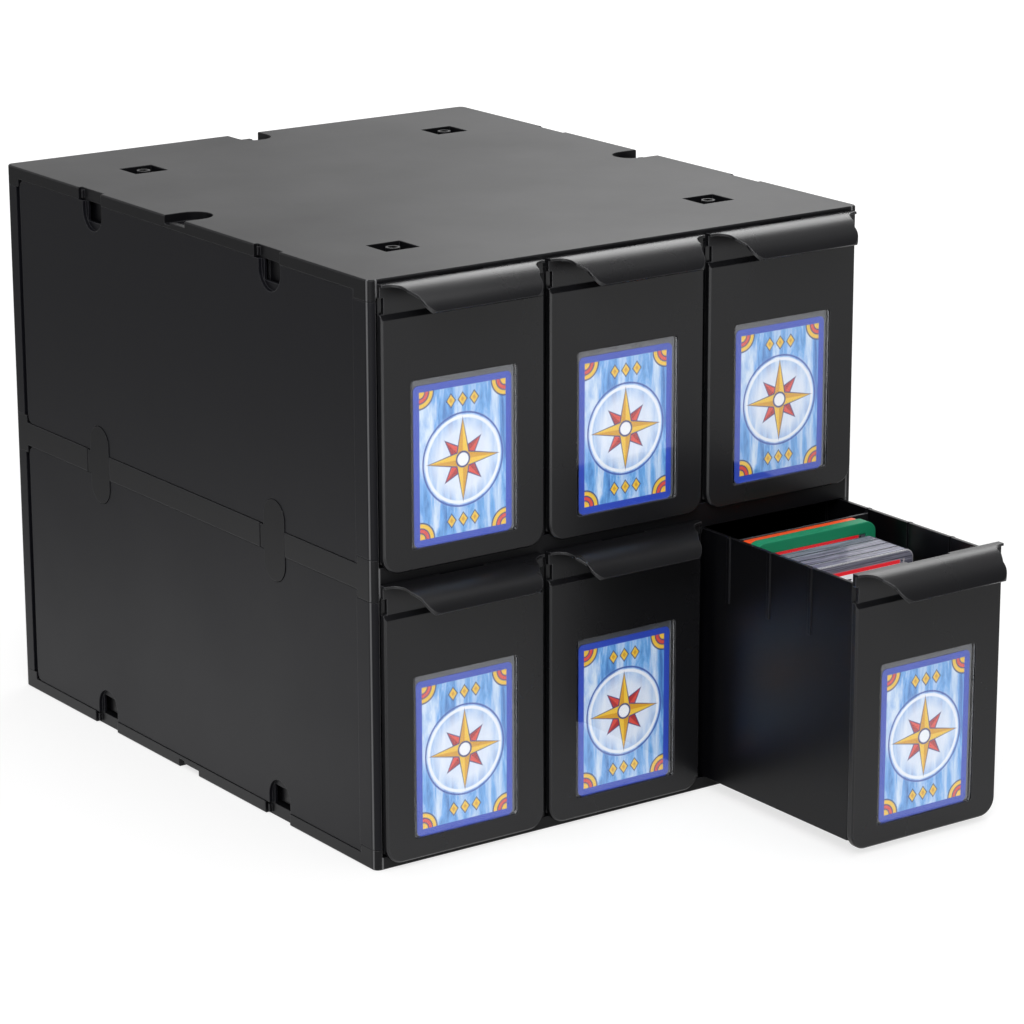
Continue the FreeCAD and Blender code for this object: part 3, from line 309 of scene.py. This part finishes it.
# ---------------------------------------------------------------- window panes
# Clear acrylic sheets set into the fronts just below their face.  Cards pushed in and out
# behind them leave a slow cloud of faint scuffs.
def pass_shadows(tree, skin):
    """Lets shadow rays straight through, so what lies behind is lit through the plastic."""
    passing = put(tree, "BsdfTransparent", Color=(0.9, 0.9, 0.9, 1)).outputs[0]
    shadow = put(tree, "LightPath").outputs["Is Shadow Ray"]
    both = put(tree, "MixShader", _0=shadow, _1=skin.outputs[0], _2=passing)
    feed(tree, tree.nodes["Material Output"], Surface=both.outputs[0])


def clear_plastic(name, tint, roughness, bend, scuff):
    """Clear plastic of a refractive index bend, whose roughness rises by scuff in its clouds."""
    material, tree, skin = new_material(name)
    feed(tree, skin, Base_Color=(*tint, 1), Transmission_Weight=1.0, IOR=bend)
    spot = put(tree, "TexCoord").outputs["Object"]
    cloud = put(tree, "TexNoise", Vector=spot, Scale=60.0, Detail=6.0, Roughness=0.7).outputs["Fac"]
    feed(tree, skin, Roughness=Sums(tree).stretch(cloud, 0.35, 0.75, roughness, roughness + scuff))
    pass_shadows(tree, skin)
    return material


pane = clear_plastic("Clear window pane", tint=(0.97, 0.98, 1.0), roughness=0.01, bend=1.46, scuff=0.03)
for drawer in DRAWERS:
    finish_node(f"{drawer}_window_pane", pane)


# ---------------------------------------------------------------- display cards
# Printed card stock, 63 x 88 mm, behind each pane: a blue frame round a pale brushed sky, with
# a compass star in gold and red inside a ring, gold fans in the corners and small lozenges
# above and below.
NAVY, ROYAL = (0.02, 0.04, 0.2, 1), (0.04, 0.1, 0.42, 1)
GOLD, DARK_GOLD = (0.9, 0.58, 0.05, 1), (0.72, 0.36, 0.02, 1)
RED, DARK_RED = (0.75, 0.08, 0.05, 1), (0.45, 0.03, 0.03, 1)
GLOW, RING, HUB = (0.86, 0.9, 0.97, 1), (0.9, 0.93, 0.98, 1), (0.93, 0.95, 0.98, 1)
SKY_STEPS = (0.3, 0.46, 0.66)
GLOW_FULL_MM, GLOW_END_MM, GLOW_COVER = 16.0, 27.0, 0.85
RING_MM, RING_HALF_MM, RING_LINE_MM, RING_LINE_HALF_MM = 23.5, 0.9, 25.6, 0.5
HUB_RIM_MM, HUB_MM = 4.6, 3.6
FIELD_X_MM, FIELD_Z_MM = 27.8, 40.3
# Each star: arms, tip radius, notch radius, turn, and the colours of an arm's two halves.
STARS = ((4, 15.5, 5.6, np.pi / 4, RED, DARK_RED), (4, 22.0, 5.0, 0.0, GOLD, DARK_GOLD))
STAR_RIM_MM, NOTCH_RIM_MM = 1.4, 0.8
# Fans are discs about the field's corners, and lozenges stand in threes on a row.
FANS = ((9.6, NAVY), (8.8, GOLD), (6.6, NAVY), (5.9, RED), (4.0, NAVY), (3.3, GOLD))
LOZENGES = ((4.2, NAVY), (3.3, GOLD), (1.5, DARK_GOLD))
LOZENGE_PITCH_MM, LOZENGE_ROW_MM, LOZENGE_SLIM = 7.5, 33.0, 1.3


def star_arms(sums, across, up, arms, outer, inner, turn):
    """The mask of a star and of the dark half of each arm.

    The angle round the centre is folded into one arm's sector, where the arm is bounded by the
    straight line from its tip at radius outer to the notch at radius inner.
    """
    angle = sums("ADD", sums("ARCTAN2", across, up), turn)
    radius = sums.reach(across, up)
    sector = 2 * np.pi / arms
    folded = sums("SUBTRACT", sums("FLOORED_MODULO", sums("ADD", angle, sector / 2), sector), sector / 2)
    along = sums("MULTIPLY", radius, sums("COSINE", folded))
    aside = sums("MULTIPLY", radius, sums("ABSOLUTE", sums("SINE", folded)))
    edge = np.array([inner * np.cos(sector / 2) - outer, inner * np.sin(sector / 2)])
    normal = np.array([edge[1], -edge[0]]) / np.linalg.norm(edge)
    past = sums("SUBTRACT", sums("ADD", sums("MULTIPLY", along, float(normal[0])),
                                 sums("MULTIPLY", aside, float(normal[1]))), float(normal[0] * outer))
    return sums.below(past, 0.0, 0.2), sums.below(folded, 0.0, 0.02)


def compass_print():
    """The compass card as a group: its colour and its paper's grain, from a place in mm.

    Across and Up are measured from the card's middle.  A noise drawn out into streaks runs from
    Deep sky over Middle sky to Pale sky.  On that go the glow and the ring, the two stars and
    their hub, the corner fans, the lozenges, and last the frame outside the printed field.
    """
    tree, given, out = new_group(
        "Compass print",
        [("Across", "Float", 0.0), ("Up", "Float", 0.0), ("Deep sky", "Color", WHITE),
         ("Middle sky", "Color", WHITE), ("Pale sky", "Color", WHITE),
         ("Frame", "Color", WHITE)],
        [("Print", "Color"), ("Grain", "Float")])
    sums = Sums(tree)
    across, up = given["Across"], given["Up"]
    side, end = sums("ABSOLUTE", across), sums("ABSOLUTE", up)
    radius = sums.reach(across, up)
    spread = put(tree, "CombineXYZ", _0=across, _1=up).outputs[0]
    streaks = put(tree, "Mapping", Vector=spread, Rotation=(0, 0, 0.9), Scale=(0.16, 0.028, 1.0))
    sky = put(tree, "TexNoise", Vector=streaks.outputs[0], Scale=1.0, Detail=7.0, Roughness=0.62,
              Distortion=0.6).outputs["Fac"]
    paper = sums.over(given["Deep sky"], given["Middle sky"], sums.stretch(sky, *SKY_STEPS[:2]))
    paper = sums.over(paper, given["Pale sky"], sums.stretch(sky, *SKY_STEPS[1:]))
    paper = sums.over(paper, GLOW, sums.stretch(radius, GLOW_FULL_MM, GLOW_END_MM, GLOW_COVER, 0.0))
    paper = sums.over(paper, RING, sums.band(radius, RING_MM, RING_HALF_MM))
    paper = sums.over(paper, ROYAL, sums.band(radius, RING_LINE_MM, RING_LINE_HALF_MM))

    for arms, outer, inner, turn, light, dark in STARS:
        rim, _ = star_arms(sums, across, up, arms, outer + STAR_RIM_MM, inner + NOTCH_RIM_MM, turn)
        arm, half = star_arms(sums, across, up, arms, outer, inner, turn)
        paper = sums.over(paper, NAVY, rim)
        paper = sums.over(paper, sums.over(light, dark, half), arm)
    paper = sums.over(paper, NAVY, sums.below(radius, HUB_RIM_MM))
    paper = sums.over(paper, HUB, sums.below(radius, HUB_MM))

    corner = sums.reach(sums("SUBTRACT", FIELD_X_MM, side), sums("SUBTRACT", FIELD_Z_MM, end))
    for far, colour in FANS:
        paper = sums.over(paper, colour, sums.below(corner, far))
    off_row = sums("ABSOLUTE", sums("SUBTRACT", end, LOZENGE_ROW_MM))
    from_outer = sums("ABSOLUTE", sums("SUBTRACT", side, LOZENGE_PITCH_MM))
    for far, colour in LOZENGES:
        for aside in (side, from_outer):
            lozenge = sums("ADD", sums("MULTIPLY", aside, LOZENGE_SLIM), off_row)
            paper = sums.over(paper, colour, sums.below(lozenge, far))

    outside = sums("MAXIMUM", sums("SUBTRACT", side, FIELD_X_MM), sums("SUBTRACT", end, FIELD_Z_MM))
    frame_mask = sums.below(sums("MULTIPLY", outside, -1.0), 0.0, 0.15)
    grain = put(tree, "TexNoise", Vector=spread, Scale=1.4, Detail=2.0).outputs["Fac"]
    feed(tree, out, Print=sums.over(paper, given["Frame"], frame_mask), Grain=grain)
    return tree


COMPASS = compass_print()


def card_print(name, place, deep_sky, middle_sky, pale_sky, frame_colour):
    """Printed card: the compass in its own colours, with the paper's faint grain under it."""
    material, tree, skin = new_material(name)
    across, up = place(tree)
    card = place_group(tree, COMPASS, Across=across, Up=up, Deep_sky=(*deep_sky, 1),
                       Middle_sky=(*middle_sky, 1), Pale_sky=(*pale_sky, 1), Frame=(*frame_colour, 1))
    bump = put(tree, "Bump", Strength=0.2, Distance=0.00002, Height=card["Grain"]).outputs[0]
    feed(tree, skin, Base_Color=card["Print"], Normal=bump,
         Roughness=Sums(tree).stretch(card["Grain"], 0.3, 0.7, 0.3, 0.4))
    return material


low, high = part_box("lower_middle_drawer_display_card")
CARD_MIDDLE_MM = (low.z + high.z) * 500
BAY_PITCH_MM = (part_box("lower_right_drawer_display_card")[0].x - low.x) * 1000
TIER_PITCH_MM = (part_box("upper_middle_drawer_display_card")[0].z - low.z) * 1000


def place_in_bay(tree):
    """Millimetres across and up from the middle of the card of whichever bay this is.

    The remainder of x by the bays' pitch and of z by the tiers' pitch folds all six together.
    """
    sums = Sums(tree)
    spot = put(tree, "SeparateXYZ", Vector=put(tree, "TexCoord").outputs["Object"]).outputs
    across = sums("MULTIPLY_ADD", spot[0], 1000.0, 1.5 * BAY_PITCH_MM)
    up = sums("FLOORED_MODULO", sums("MULTIPLY", spot[2], 1000.0), TIER_PITCH_MM)
    return (sums("SUBTRACT", sums("FLOORED_MODULO", across, BAY_PITCH_MM), BAY_PITCH_MM / 2),
            sums("SUBTRACT", up, CARD_MIDDLE_MM))


printed = card_print("Printed card", place_in_bay, deep_sky=(0.03, 0.14, 0.45),
                     middle_sky=(0.16, 0.42, 0.8), pale_sky=(0.74, 0.84, 0.96),
                     frame_colour=(0.022, 0.065, 0.48))
for drawer in DRAWERS:
    finish_node(f"{drawer}_display_card", printed)


# ---------------------------------------------------------------- card sleeves
# Each card stands in a thin sleeve of milky film, a little larger than the card, so a light
# strip of it shows past the card's top and right edges.
SLEEVE_WIDE, SLEEVE_TALL, SLEEVE_CORNER, SLEEVE_THICK = 0.0647, 0.0910, 0.0015, 0.0001
SLEEVE_ASIDE, SLEEVE_BEHIND, SLEEVE_FOOT = 0.0009, 0.00015, 0.0001


def sheet_outline(width, height, corner, steps=6):
    """A rectangle with quarter-round corners, anticlockwise, about its own middle.

    The angle runs once round in equal steps per corner, and each point is that corner's centre
    plus the corner radius along the angle.
    """
    angle = (np.arange(4)[:, None] + np.linspace(0, 1, steps)[None, :]) * np.pi / 2
    sign_x = np.array([1, -1, -1, 1])[:, None]
    sign_z = np.array([1, 1, -1, -1])[:, None]
    x = sign_x * (width / 2 - corner) + corner * np.cos(angle)
    z = sign_z * (height / 2 - corner) + corner * np.sin(angle)
    return np.stack([x.ravel(), z.ravel()], axis=1)


def upright_sheets(name, outline, thick, centres, material):
    """Closed upright sheets of one outline, one at each centre, as one mesh.

    The front and back rings and their two middles are the outline and its centre, moved half
    the thickness along y.  Faces fan from the middles and run round between the rings.  The
    attribute "sheet" keeps each point's place about its own sheet's middle, in mm.
    """
    count = len(outline)
    ring = np.arange(count)
    step = (ring + 1) % count
    front_middle, back_middle = np.full(count, 2 * count), np.full(count, 2 * count + 1)
    front_ring = np.stack([outline[:, 0], np.full(count, -thick / 2), outline[:, 1]], axis=1)
    one = np.vstack([front_ring, front_ring * (1, -1, 1), [[0, -thick / 2, 0]], [[0, thick / 2, 0]]])
    faces = np.vstack([np.stack([ring, step, front_middle], axis=1),
                       np.stack([step + count, ring + count, back_middle], axis=1),
                       np.stack([step, ring, ring + count], axis=1),
                       np.stack([step, ring + count, step + count], axis=1)])
    points = (np.asarray(centres)[:, None, :] + one[None]).reshape(-1, 3)
    triangles = (np.arange(len(centres))[:, None, None] * len(one) + faces[None]).reshape(-1, 3)
    mesh = bpy.data.meshes.new(name)
    mesh.from_pydata(points.tolist(), [], triangles.tolist())
    spread = mesh.attributes.new("sheet", "FLOAT_VECTOR", "POINT")
    spread.data.foreach_set("vector", (np.tile(one, (len(centres), 1)) * 1000).ravel())
    mesh.materials.append(material)
    piece = bpy.data.objects.new(name, mesh)
    bpy.context.scene.collection.objects.link(piece)
    return piece


film = moulded_plastic("Sleeve film", colour=(0.095, 0.1, 0.11), edge_colour=(0.3, 0.3, 0.32), gloss=0.3,
                       gloss_drift=0.05, shine=0.5, grain=0.002, depth=0.00001, edge=0.0003)
sleeve_outline = sheet_outline(SLEEVE_WIDE, SLEEVE_TALL, SLEEVE_CORNER)
for drawer in DRAWERS:
    low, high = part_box(f"{drawer}_display_card")
    middle = ((low.x + high.x) / 2 + SLEEVE_ASIDE, high.y + SLEEVE_BEHIND,
              low.z + SLEEVE_FOOT + SLEEVE_TALL / 2)
    sleeve = upright_sheets(drawer.replace("drawer", "card_sleeve"), sleeve_outline, SLEEVE_THICK,
                            [middle], film)
    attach(sleeve, drawer)

# ---------------------------------------------------------------- card holder and slab bumper
# A stiff orange card holder stands against the divider plate, then a soft green guard with a
# slab in it.  The guard's rubber has a dull skin; a painted highlight lightens both parts a little
# on their edges.
orange = moulded_plastic("Orange holder", colour=(1.0, 0.1, 0.018), edge_colour=(1.0, 0.2, 0.06),
                         gloss=0.42, gloss_drift=0.05, shine=0.4, grain=0.0006, depth=0.00001,
                         edge=0.0006)
finish_node("orange_card_holder", orange)
green = moulded_plastic("Green rubber", colour=(0.008, 0.27, 0.125), edge_colour=(0.03, 0.4, 0.21),
                        gloss=0.55, gloss_drift=0.06, shine=0.4, grain=0.0005, depth=0.00003,
                        edge=0.0012)
finish_node("green_slab_bumper", green)

# ---------------------------------------------------------------- graded card slabs
# Sonic-welded clear cases.  The welded rim is milky lilac with fine drawn marks; inside it the
# case is clear over a white label with a red band, and over the card below the label.
LABEL_WIDE, LABEL_TALL, LABEL_CORNER, LABEL_THICK = 0.068, 0.016, 0.001, 0.0005
CARD_WIDE, CARD_TALL, CARD_CORNER, CARD_THICK, CARD_DROP = 0.063, 0.088, 0.003, 0.0004, 0.026
ROW_RIM, ROW_LABEL_DROP = 0.0052, 0.0062
GUARDED_RIM, GUARDED_LABEL_DROP = 0.0034, 0.0044
RIM_FADE, RIM_COVER, CASE_COVER = 0.0006, 0.92, 0.02
LILAC, PALE_LILAC, CASE_TINT = (0.08, 0.08, 0.12, 1), (0.4, 0.4, 0.5, 1), (0.9, 0.9, 0.95, 1)
PAPER, PALE_PAPER = (0.8, 0.81, 0.83, 1), (0.9, 0.9, 0.92, 1)
INK, BAND_RED, BAND_MM = (0.05, 0.05, 0.06, 1), (0.82, 0.008, 0.02, 1), 2.4
DASH_ROWS_MM, DASH_HALF_MM, DASH_PITCH_MM, DASH_LONG_MM, DASHES_END_MM = (5.6, 8.4), 0.55, 5.0, 4.1, 8.0
# Middle and half of the block of bars, across and down.
BARS_ACROSS_MM, BARS_DOWN_MM = (22.0, 8.0), (10.0, 3.0)


def welded_rim():
    """The welded rim of a slab as a group: a milky colour and how far it hides what is behind.

    Past is how far a place lies outside the clear window: the larger of |x - Middle| less half
    the label's width, and its height over Window top.  The rim fades in over RIM_FADE of that.
    Its marks are a noise drawn out along x, and Painted edge colour goes over them where Edge is 1;
    each slab gives it, dark as painted shade at the gaps between slabs, or white as a painted
    highlight on the front slab's top edge.
    """
    tree, given, out = new_group(
        "Welded rim",
        [("Middle", "Float", 0.0), ("Window top", "Float", 0.0), ("Edge", "Float", 0.0),
         ("Edge colour", "Color", WHITE)],
        [("Colour", "Color"), ("Cover", "Float")])
    sums = Sums(tree)
    spot = put(tree, "TexCoord").outputs["Object"]
    axes = put(tree, "SeparateXYZ", Vector=spot).outputs
    from_middle = sums("ABSOLUTE", sums("SUBTRACT", axes[0], given["Middle"]))
    past = sums("MAXIMUM", sums("SUBTRACT", from_middle, LABEL_WIDE / 2),
                sums("SUBTRACT", axes[2], given["Window top"]))
    rim = sums.stretch(past, 0.0, RIM_FADE)
    drawn = put(tree, "Mapping", Vector=spot, Scale=(25.0, 500.0, 1600.0)).outputs[0]
    marks = put(tree, "TexNoise", Vector=drawn, Scale=1.0, Detail=4.0, Roughness=0.7).outputs["Fac"]
    milky = sums.over(LILAC, PALE_LILAC, sums.stretch(marks, 0.36, 0.64))
    milky = sums.over(milky, given["Edge colour"], given["Edge"])
    feed(tree, out, Colour=sums.over(CASE_TINT, milky, rim),
         Cover=sums("MULTIPLY_ADD", rim, RIM_COVER, CASE_COVER))
    return tree


WELDED_RIM = welded_rim()


def slab_plastic(name, box, rim_tall, edge_colour, edge):
    """A clear case with its milky rim; light reaches the label through both."""
    low, high = box
    material, tree, skin = new_material(name)
    surface = place_group(tree, MOULDED, Grain_size=0.0012, Grain_depth=0.00001, Edge_radius=edge)
    rim = place_group(tree, WELDED_RIM, Middle=(low.x + high.x) / 2, Window_top=high.z - rim_tall,
                      Edge=surface["Edge"], Edge_colour=(*edge_colour, 1))
    feed(tree, skin, Base_Color=rim["Colour"], Alpha=rim["Cover"], Normal=surface["Normal"],
         Roughness=Sums(tree)("MULTIPLY_ADD", surface["Mottle"], 0.15, 0.1))
    pass_shadows(tree, skin)
    return material


SLABS = ["slab_in_bumper"] + [f"graded_slab_{number}" for number in range(1, 5)]
slab_boxes = [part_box(name) for name in SLABS]
# The edge colours are painted: shade in the gaps between slabs for the guarded slab and those in the row,
# and a white highlight along the front slab's top edge.
guarded = slab_plastic("Guarded slab", slab_boxes[0], GUARDED_RIM, edge_colour=(0.04, 0.04, 0.05),
                       edge=0.0008)
in_row = slab_plastic("Slab in the row", slab_boxes[1], ROW_RIM, edge_colour=(0.02, 0.025, 0.03),
                      edge=0.0012)
foremost = slab_plastic("Front slab", slab_boxes[-1], ROW_RIM, edge_colour=(1.0, 1.0, 1.0), edge=0.0018)
for name, material in zip(SLABS, [guarded] + [in_row] * 3 + [foremost]):
    finish_node(name, material)


def place_on_sheet(tree):
    """Millimetres across and up from the middle of an upright sheet, from its own attribute."""
    own = put(tree, "Attribute", {"attribute_name": "sheet"}).outputs["Vector"]
    spot = put(tree, "SeparateXYZ", Vector=own).outputs
    return spot[0], spot[2]


def label_print():
    """A white label with a red band along its top, two rows of dashes and a block of bars.

    Down is measured from the label's top edge, in mm.  The faint glow stands for the light
    that the clear case pipes on to the label.
    """
    material, tree, skin = new_material("Slab label")
    sums = Sums(tree)
    across, up = place_on_sheet(tree)
    down = sums("SUBTRACT", LABEL_TALL * 500, up)
    spread = put(tree, "CombineXYZ", _0=across, _1=up).outputs[0]
    grain = put(tree, "TexNoise", Vector=spread, Scale=0.9, Detail=2.0).outputs["Fac"]
    paper = sums.over(PAPER, PALE_PAPER, grain)
    dashes = sums.below(sums("FLOORED_MODULO", across, DASH_PITCH_MM), DASH_LONG_MM, 0.05)
    dashes = sums("MULTIPLY", dashes, sums.below(across, DASHES_END_MM, 0.05))
    for line in DASH_ROWS_MM:
        row = sums("MULTIPLY", sums.band(down, line, DASH_HALF_MM, 0.05), dashes)
        paper = sums.over(paper, INK, row)
    stripes = put(tree, "TexNoise", {"noise_dimensions": "1D"}, W=across, Scale=1.6).outputs["Fac"]
    block = sums("MULTIPLY", sums.band(across, *BARS_ACROSS_MM, 0.05), sums.band(down, *BARS_DOWN_MM, 0.05))
    paper = sums.over(paper, INK, sums("MULTIPLY", sums.below(stripes, 0.48, 0.02), block))
    paper = sums.over(paper, BAND_RED, sums.below(down, BAND_MM, 0.05))
    feed(tree, skin, Base_Color=paper, Emission_Color=paper, Emission_Strength=0.5,
         Roughness=sums("MULTIPLY_ADD", grain, 0.1, 0.35))
    return material


slab_tops = [((low.x + high.x) / 2, (low.y + high.y) / 2, high.z) for low, high in slab_boxes]
label_drops = [GUARDED_LABEL_DROP] + [ROW_LABEL_DROP] * 4
label_middles = [(x, y, top - drop - LABEL_TALL / 2) for (x, y, top), drop in zip(slab_tops, label_drops)]
labels = upright_sheets("slab_labels", sheet_outline(LABEL_WIDE, LABEL_TALL, LABEL_CORNER), LABEL_THICK,
                        label_middles, label_print())
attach(labels, "lower_right_drawer")
graded = card_print("Graded card", place_on_sheet, deep_sky=(0.3, 0.12, 0.02),
                    middle_sky=(0.75, 0.45, 0.12), pale_sky=(0.95, 0.85, 0.6),
                    frame_colour=(0.6, 0.5, 0.08))
cards = upright_sheets("slab_cards", sheet_outline(CARD_WIDE, CARD_TALL, CARD_CORNER), CARD_THICK,
                       [(x, y, top - CARD_DROP - CARD_TALL / 2) for x, y, top in slab_tops], graded)
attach(cards, "lower_right_drawer")


# ---------------------------------------------------------------- studio
# A pale floor in a white sweep, lit by three soft boxes.  Reflections see the floor brightest
# beside and before the box and in two pools at its left, and see the sweep fade to grey
# upwards and towards the front.
FLOOR_REACH, FLOOR_DROP, FLOOR_GREY = 6.0, 0.0002, (0.36, 0.36, 0.36, 1)
LEFT_POOL, WALL_POOL = (-1.0, -0.85, 0.0), (-0.33, 0.02, 0.0)
DAYLIGHT = 0.42


def seen_glow(tree, plain, in_gloss, through_clear):
    """The emission for camera, glossy and transmission rays, each its own number or socket."""
    sums = Sums(tree)
    rays = put(tree, "LightPath").outputs
    total = sums("MULTIPLY", rays["Is Camera Ray"], plain)
    total = sums("MULTIPLY_ADD", rays["Is Glossy Ray"], in_gloss, total)
    return sums("MULTIPLY_ADD", rays["Is Transmission Ray"], through_clear, total)


def fade(tree, amount, start, end, first, last):
    """A smooth step from first at start to last at end."""
    node = put(tree, "MapRange", {"interpolation_type": "SMOOTHSTEP"}, _0=amount, _1=start,
               _2=end, _3=first, _4=last)
    return node.outputs[0]


def pool(tree, spot, middle, inner, outer, strength):
    """A round pool of light: full strength inside one radius of its middle, none past another."""
    away = put(tree, "VectorMath", {"operation": "DISTANCE"}, _0=spot, _1=middle).outputs["Value"]
    return fade(tree, away, inner, outer, strength, 0.0)


def pale_floor():
    """A matt grey floor that looks near white, and in reflections has its own light and pools.

    Beside falls off with the distance from the box's middle, and ahead rises towards the front.
    """
    material, tree, cloth = new_material("Pale floor")
    sums = Sums(tree)
    spot = put(tree, "TexCoord").outputs["Object"]
    away = put(tree, "VectorMath", {"operation": "LENGTH"}, _0=spot).outputs["Value"]
    beside = fade(tree, away, start=0.3, end=1.1, first=0.4, last=0.0)
    along = put(tree, "SeparateXYZ", Vector=spot).outputs[1]
    ahead = fade(tree, along, start=-0.5, end=-1.1, first=0.0, last=0.4)
    lit = sums("ADD", sums("MAXIMUM", beside, ahead),
               pool(tree, spot, LEFT_POOL, inner=0.3, outer=0.65, strength=2.0))
    lit = sums("ADD", lit, pool(tree, spot, WALL_POOL, inner=0.05, outer=0.45, strength=0.4))
    plain = sums.stretch(away, start=0.8, end=2.6, first=0.72, last=0.97)
    feed(tree, cloth, Base_Color=FLOOR_GREY, Roughness=0.9, Specular_IOR_Level=0.0,
         Emission_Color=WHITE, Emission_Strength=seen_glow(tree, plain, lit, through_clear=0.7))
    return material


floor_mesh = bpy.data.meshes.new("studio_floor")
floor_mesh.from_pydata([(x * FLOOR_REACH, y * FLOOR_REACH, -FLOOR_DROP)
                        for x, y in ((-1, -1), (1, -1), (1, 1), (-1, 1))], [], [(0, 1, 2, 3)])
floor_mesh.materials.append(pale_floor())
floor = bpy.data.objects.new("studio_floor", floor_mesh)
bpy.context.scene.collection.objects.link(floor)

world = bpy.data.worlds.new("Studio")
bpy.context.scene.world = world
world.use_nodes = True
sky_tree = world.node_tree
sky_tree.nodes.clear()
toward = put(sky_tree, "SeparateXYZ", Vector=put(sky_tree, "TexCoord").outputs["Generated"]).outputs
sweep = fade(sky_tree, toward[2], start=0.1, end=0.6, first=0.92, last=0.35)
facing = fade(sky_tree, toward[1], start=-0.35, end=0.1, first=0.3, last=1.0)
sums = Sums(sky_tree)
mirrored = sums("SUBTRACT", sums("MULTIPLY", sweep, facing), DAYLIGHT)
seen = seen_glow(sky_tree, plain=1.0 - DAYLIGHT, in_gloss=mirrored, through_clear=1.0 - DAYLIGHT)
level = sums("ADD", seen, DAYLIGHT)
backdrop = put(sky_tree, "Background", Color=WHITE, Strength=level).outputs[0]
put(sky_tree, "OutputWorld", Surface=backdrop)


def soft_lamp(name, spot, aim, size, power):
    """A square soft box that faces a point."""
    lamp = bpy.data.lights.new(name, "AREA")
    lamp.size = size
    lamp.energy = power
    stand = bpy.data.objects.new(name, lamp)
    bpy.context.scene.collection.objects.link(stand)
    stand.location = spot
    stand.rotation_euler = (Vector(aim) - Vector(spot)).to_track_quat("-Z", "Y").to_euler()


soft_lamp("key", spot=(-1.6, -2.0, 2.4), aim=(0, 0, 0.15), size=1.6, power=52)
soft_lamp("overhead", spot=(0.3, -0.4, 3.0), aim=(0, 0, 0.15), size=1.6, power=26)
soft_lamp("back right", spot=(1.45, 1.3, 1.55), aim=(0, 0, 0.3), size=0.95, power=8)

# ---------------------------------------------------------------- camera
# A long lens from the front left, a little above the box.  Its focal length is given in pixels
# of a frame 1024 wide, and its turn in radians: about z, downwards, and about its own axis.
FOCAL_PIXELS, FRAME_PIXELS, SENSOR_MM = 3888.6, 1024, 36.0
YAW, PITCH, ROLL = 0.61695, 0.28048, -0.0025
EYE = (-1.2389, -1.8376, 0.7665)
camera_data = bpy.data.cameras.new("camera")
camera_data.sensor_fit = "HORIZONTAL"
camera_data.sensor_width = SENSOR_MM
camera_data.lens = FOCAL_PIXELS / FRAME_PIXELS * SENSOR_MM
camera_data.clip_end = 50.0
camera = bpy.data.objects.new("camera", camera_data)
bpy.context.scene.collection.objects.link(camera)
forward = np.array([np.sin(YAW) * np.cos(PITCH), np.cos(YAW) * np.cos(PITCH), -np.sin(PITCH)])
level_right = np.array([np.cos(YAW), -np.sin(YAW), 0.0])
level_up = np.cross(level_right, forward)
right = np.cos(ROLL) * level_right + np.sin(ROLL) * level_up
up = np.cos(ROLL) * level_up - np.sin(ROLL) * level_right
pose = Matrix(np.vstack([np.stack([right, up, -forward, EYE], axis=1), (0, 0, 0, 1)]).tolist())
camera.matrix_world = pose
bpy.context.scene.camera = camera
bpy.context.scene.view_settings.view_transform = "Standard"
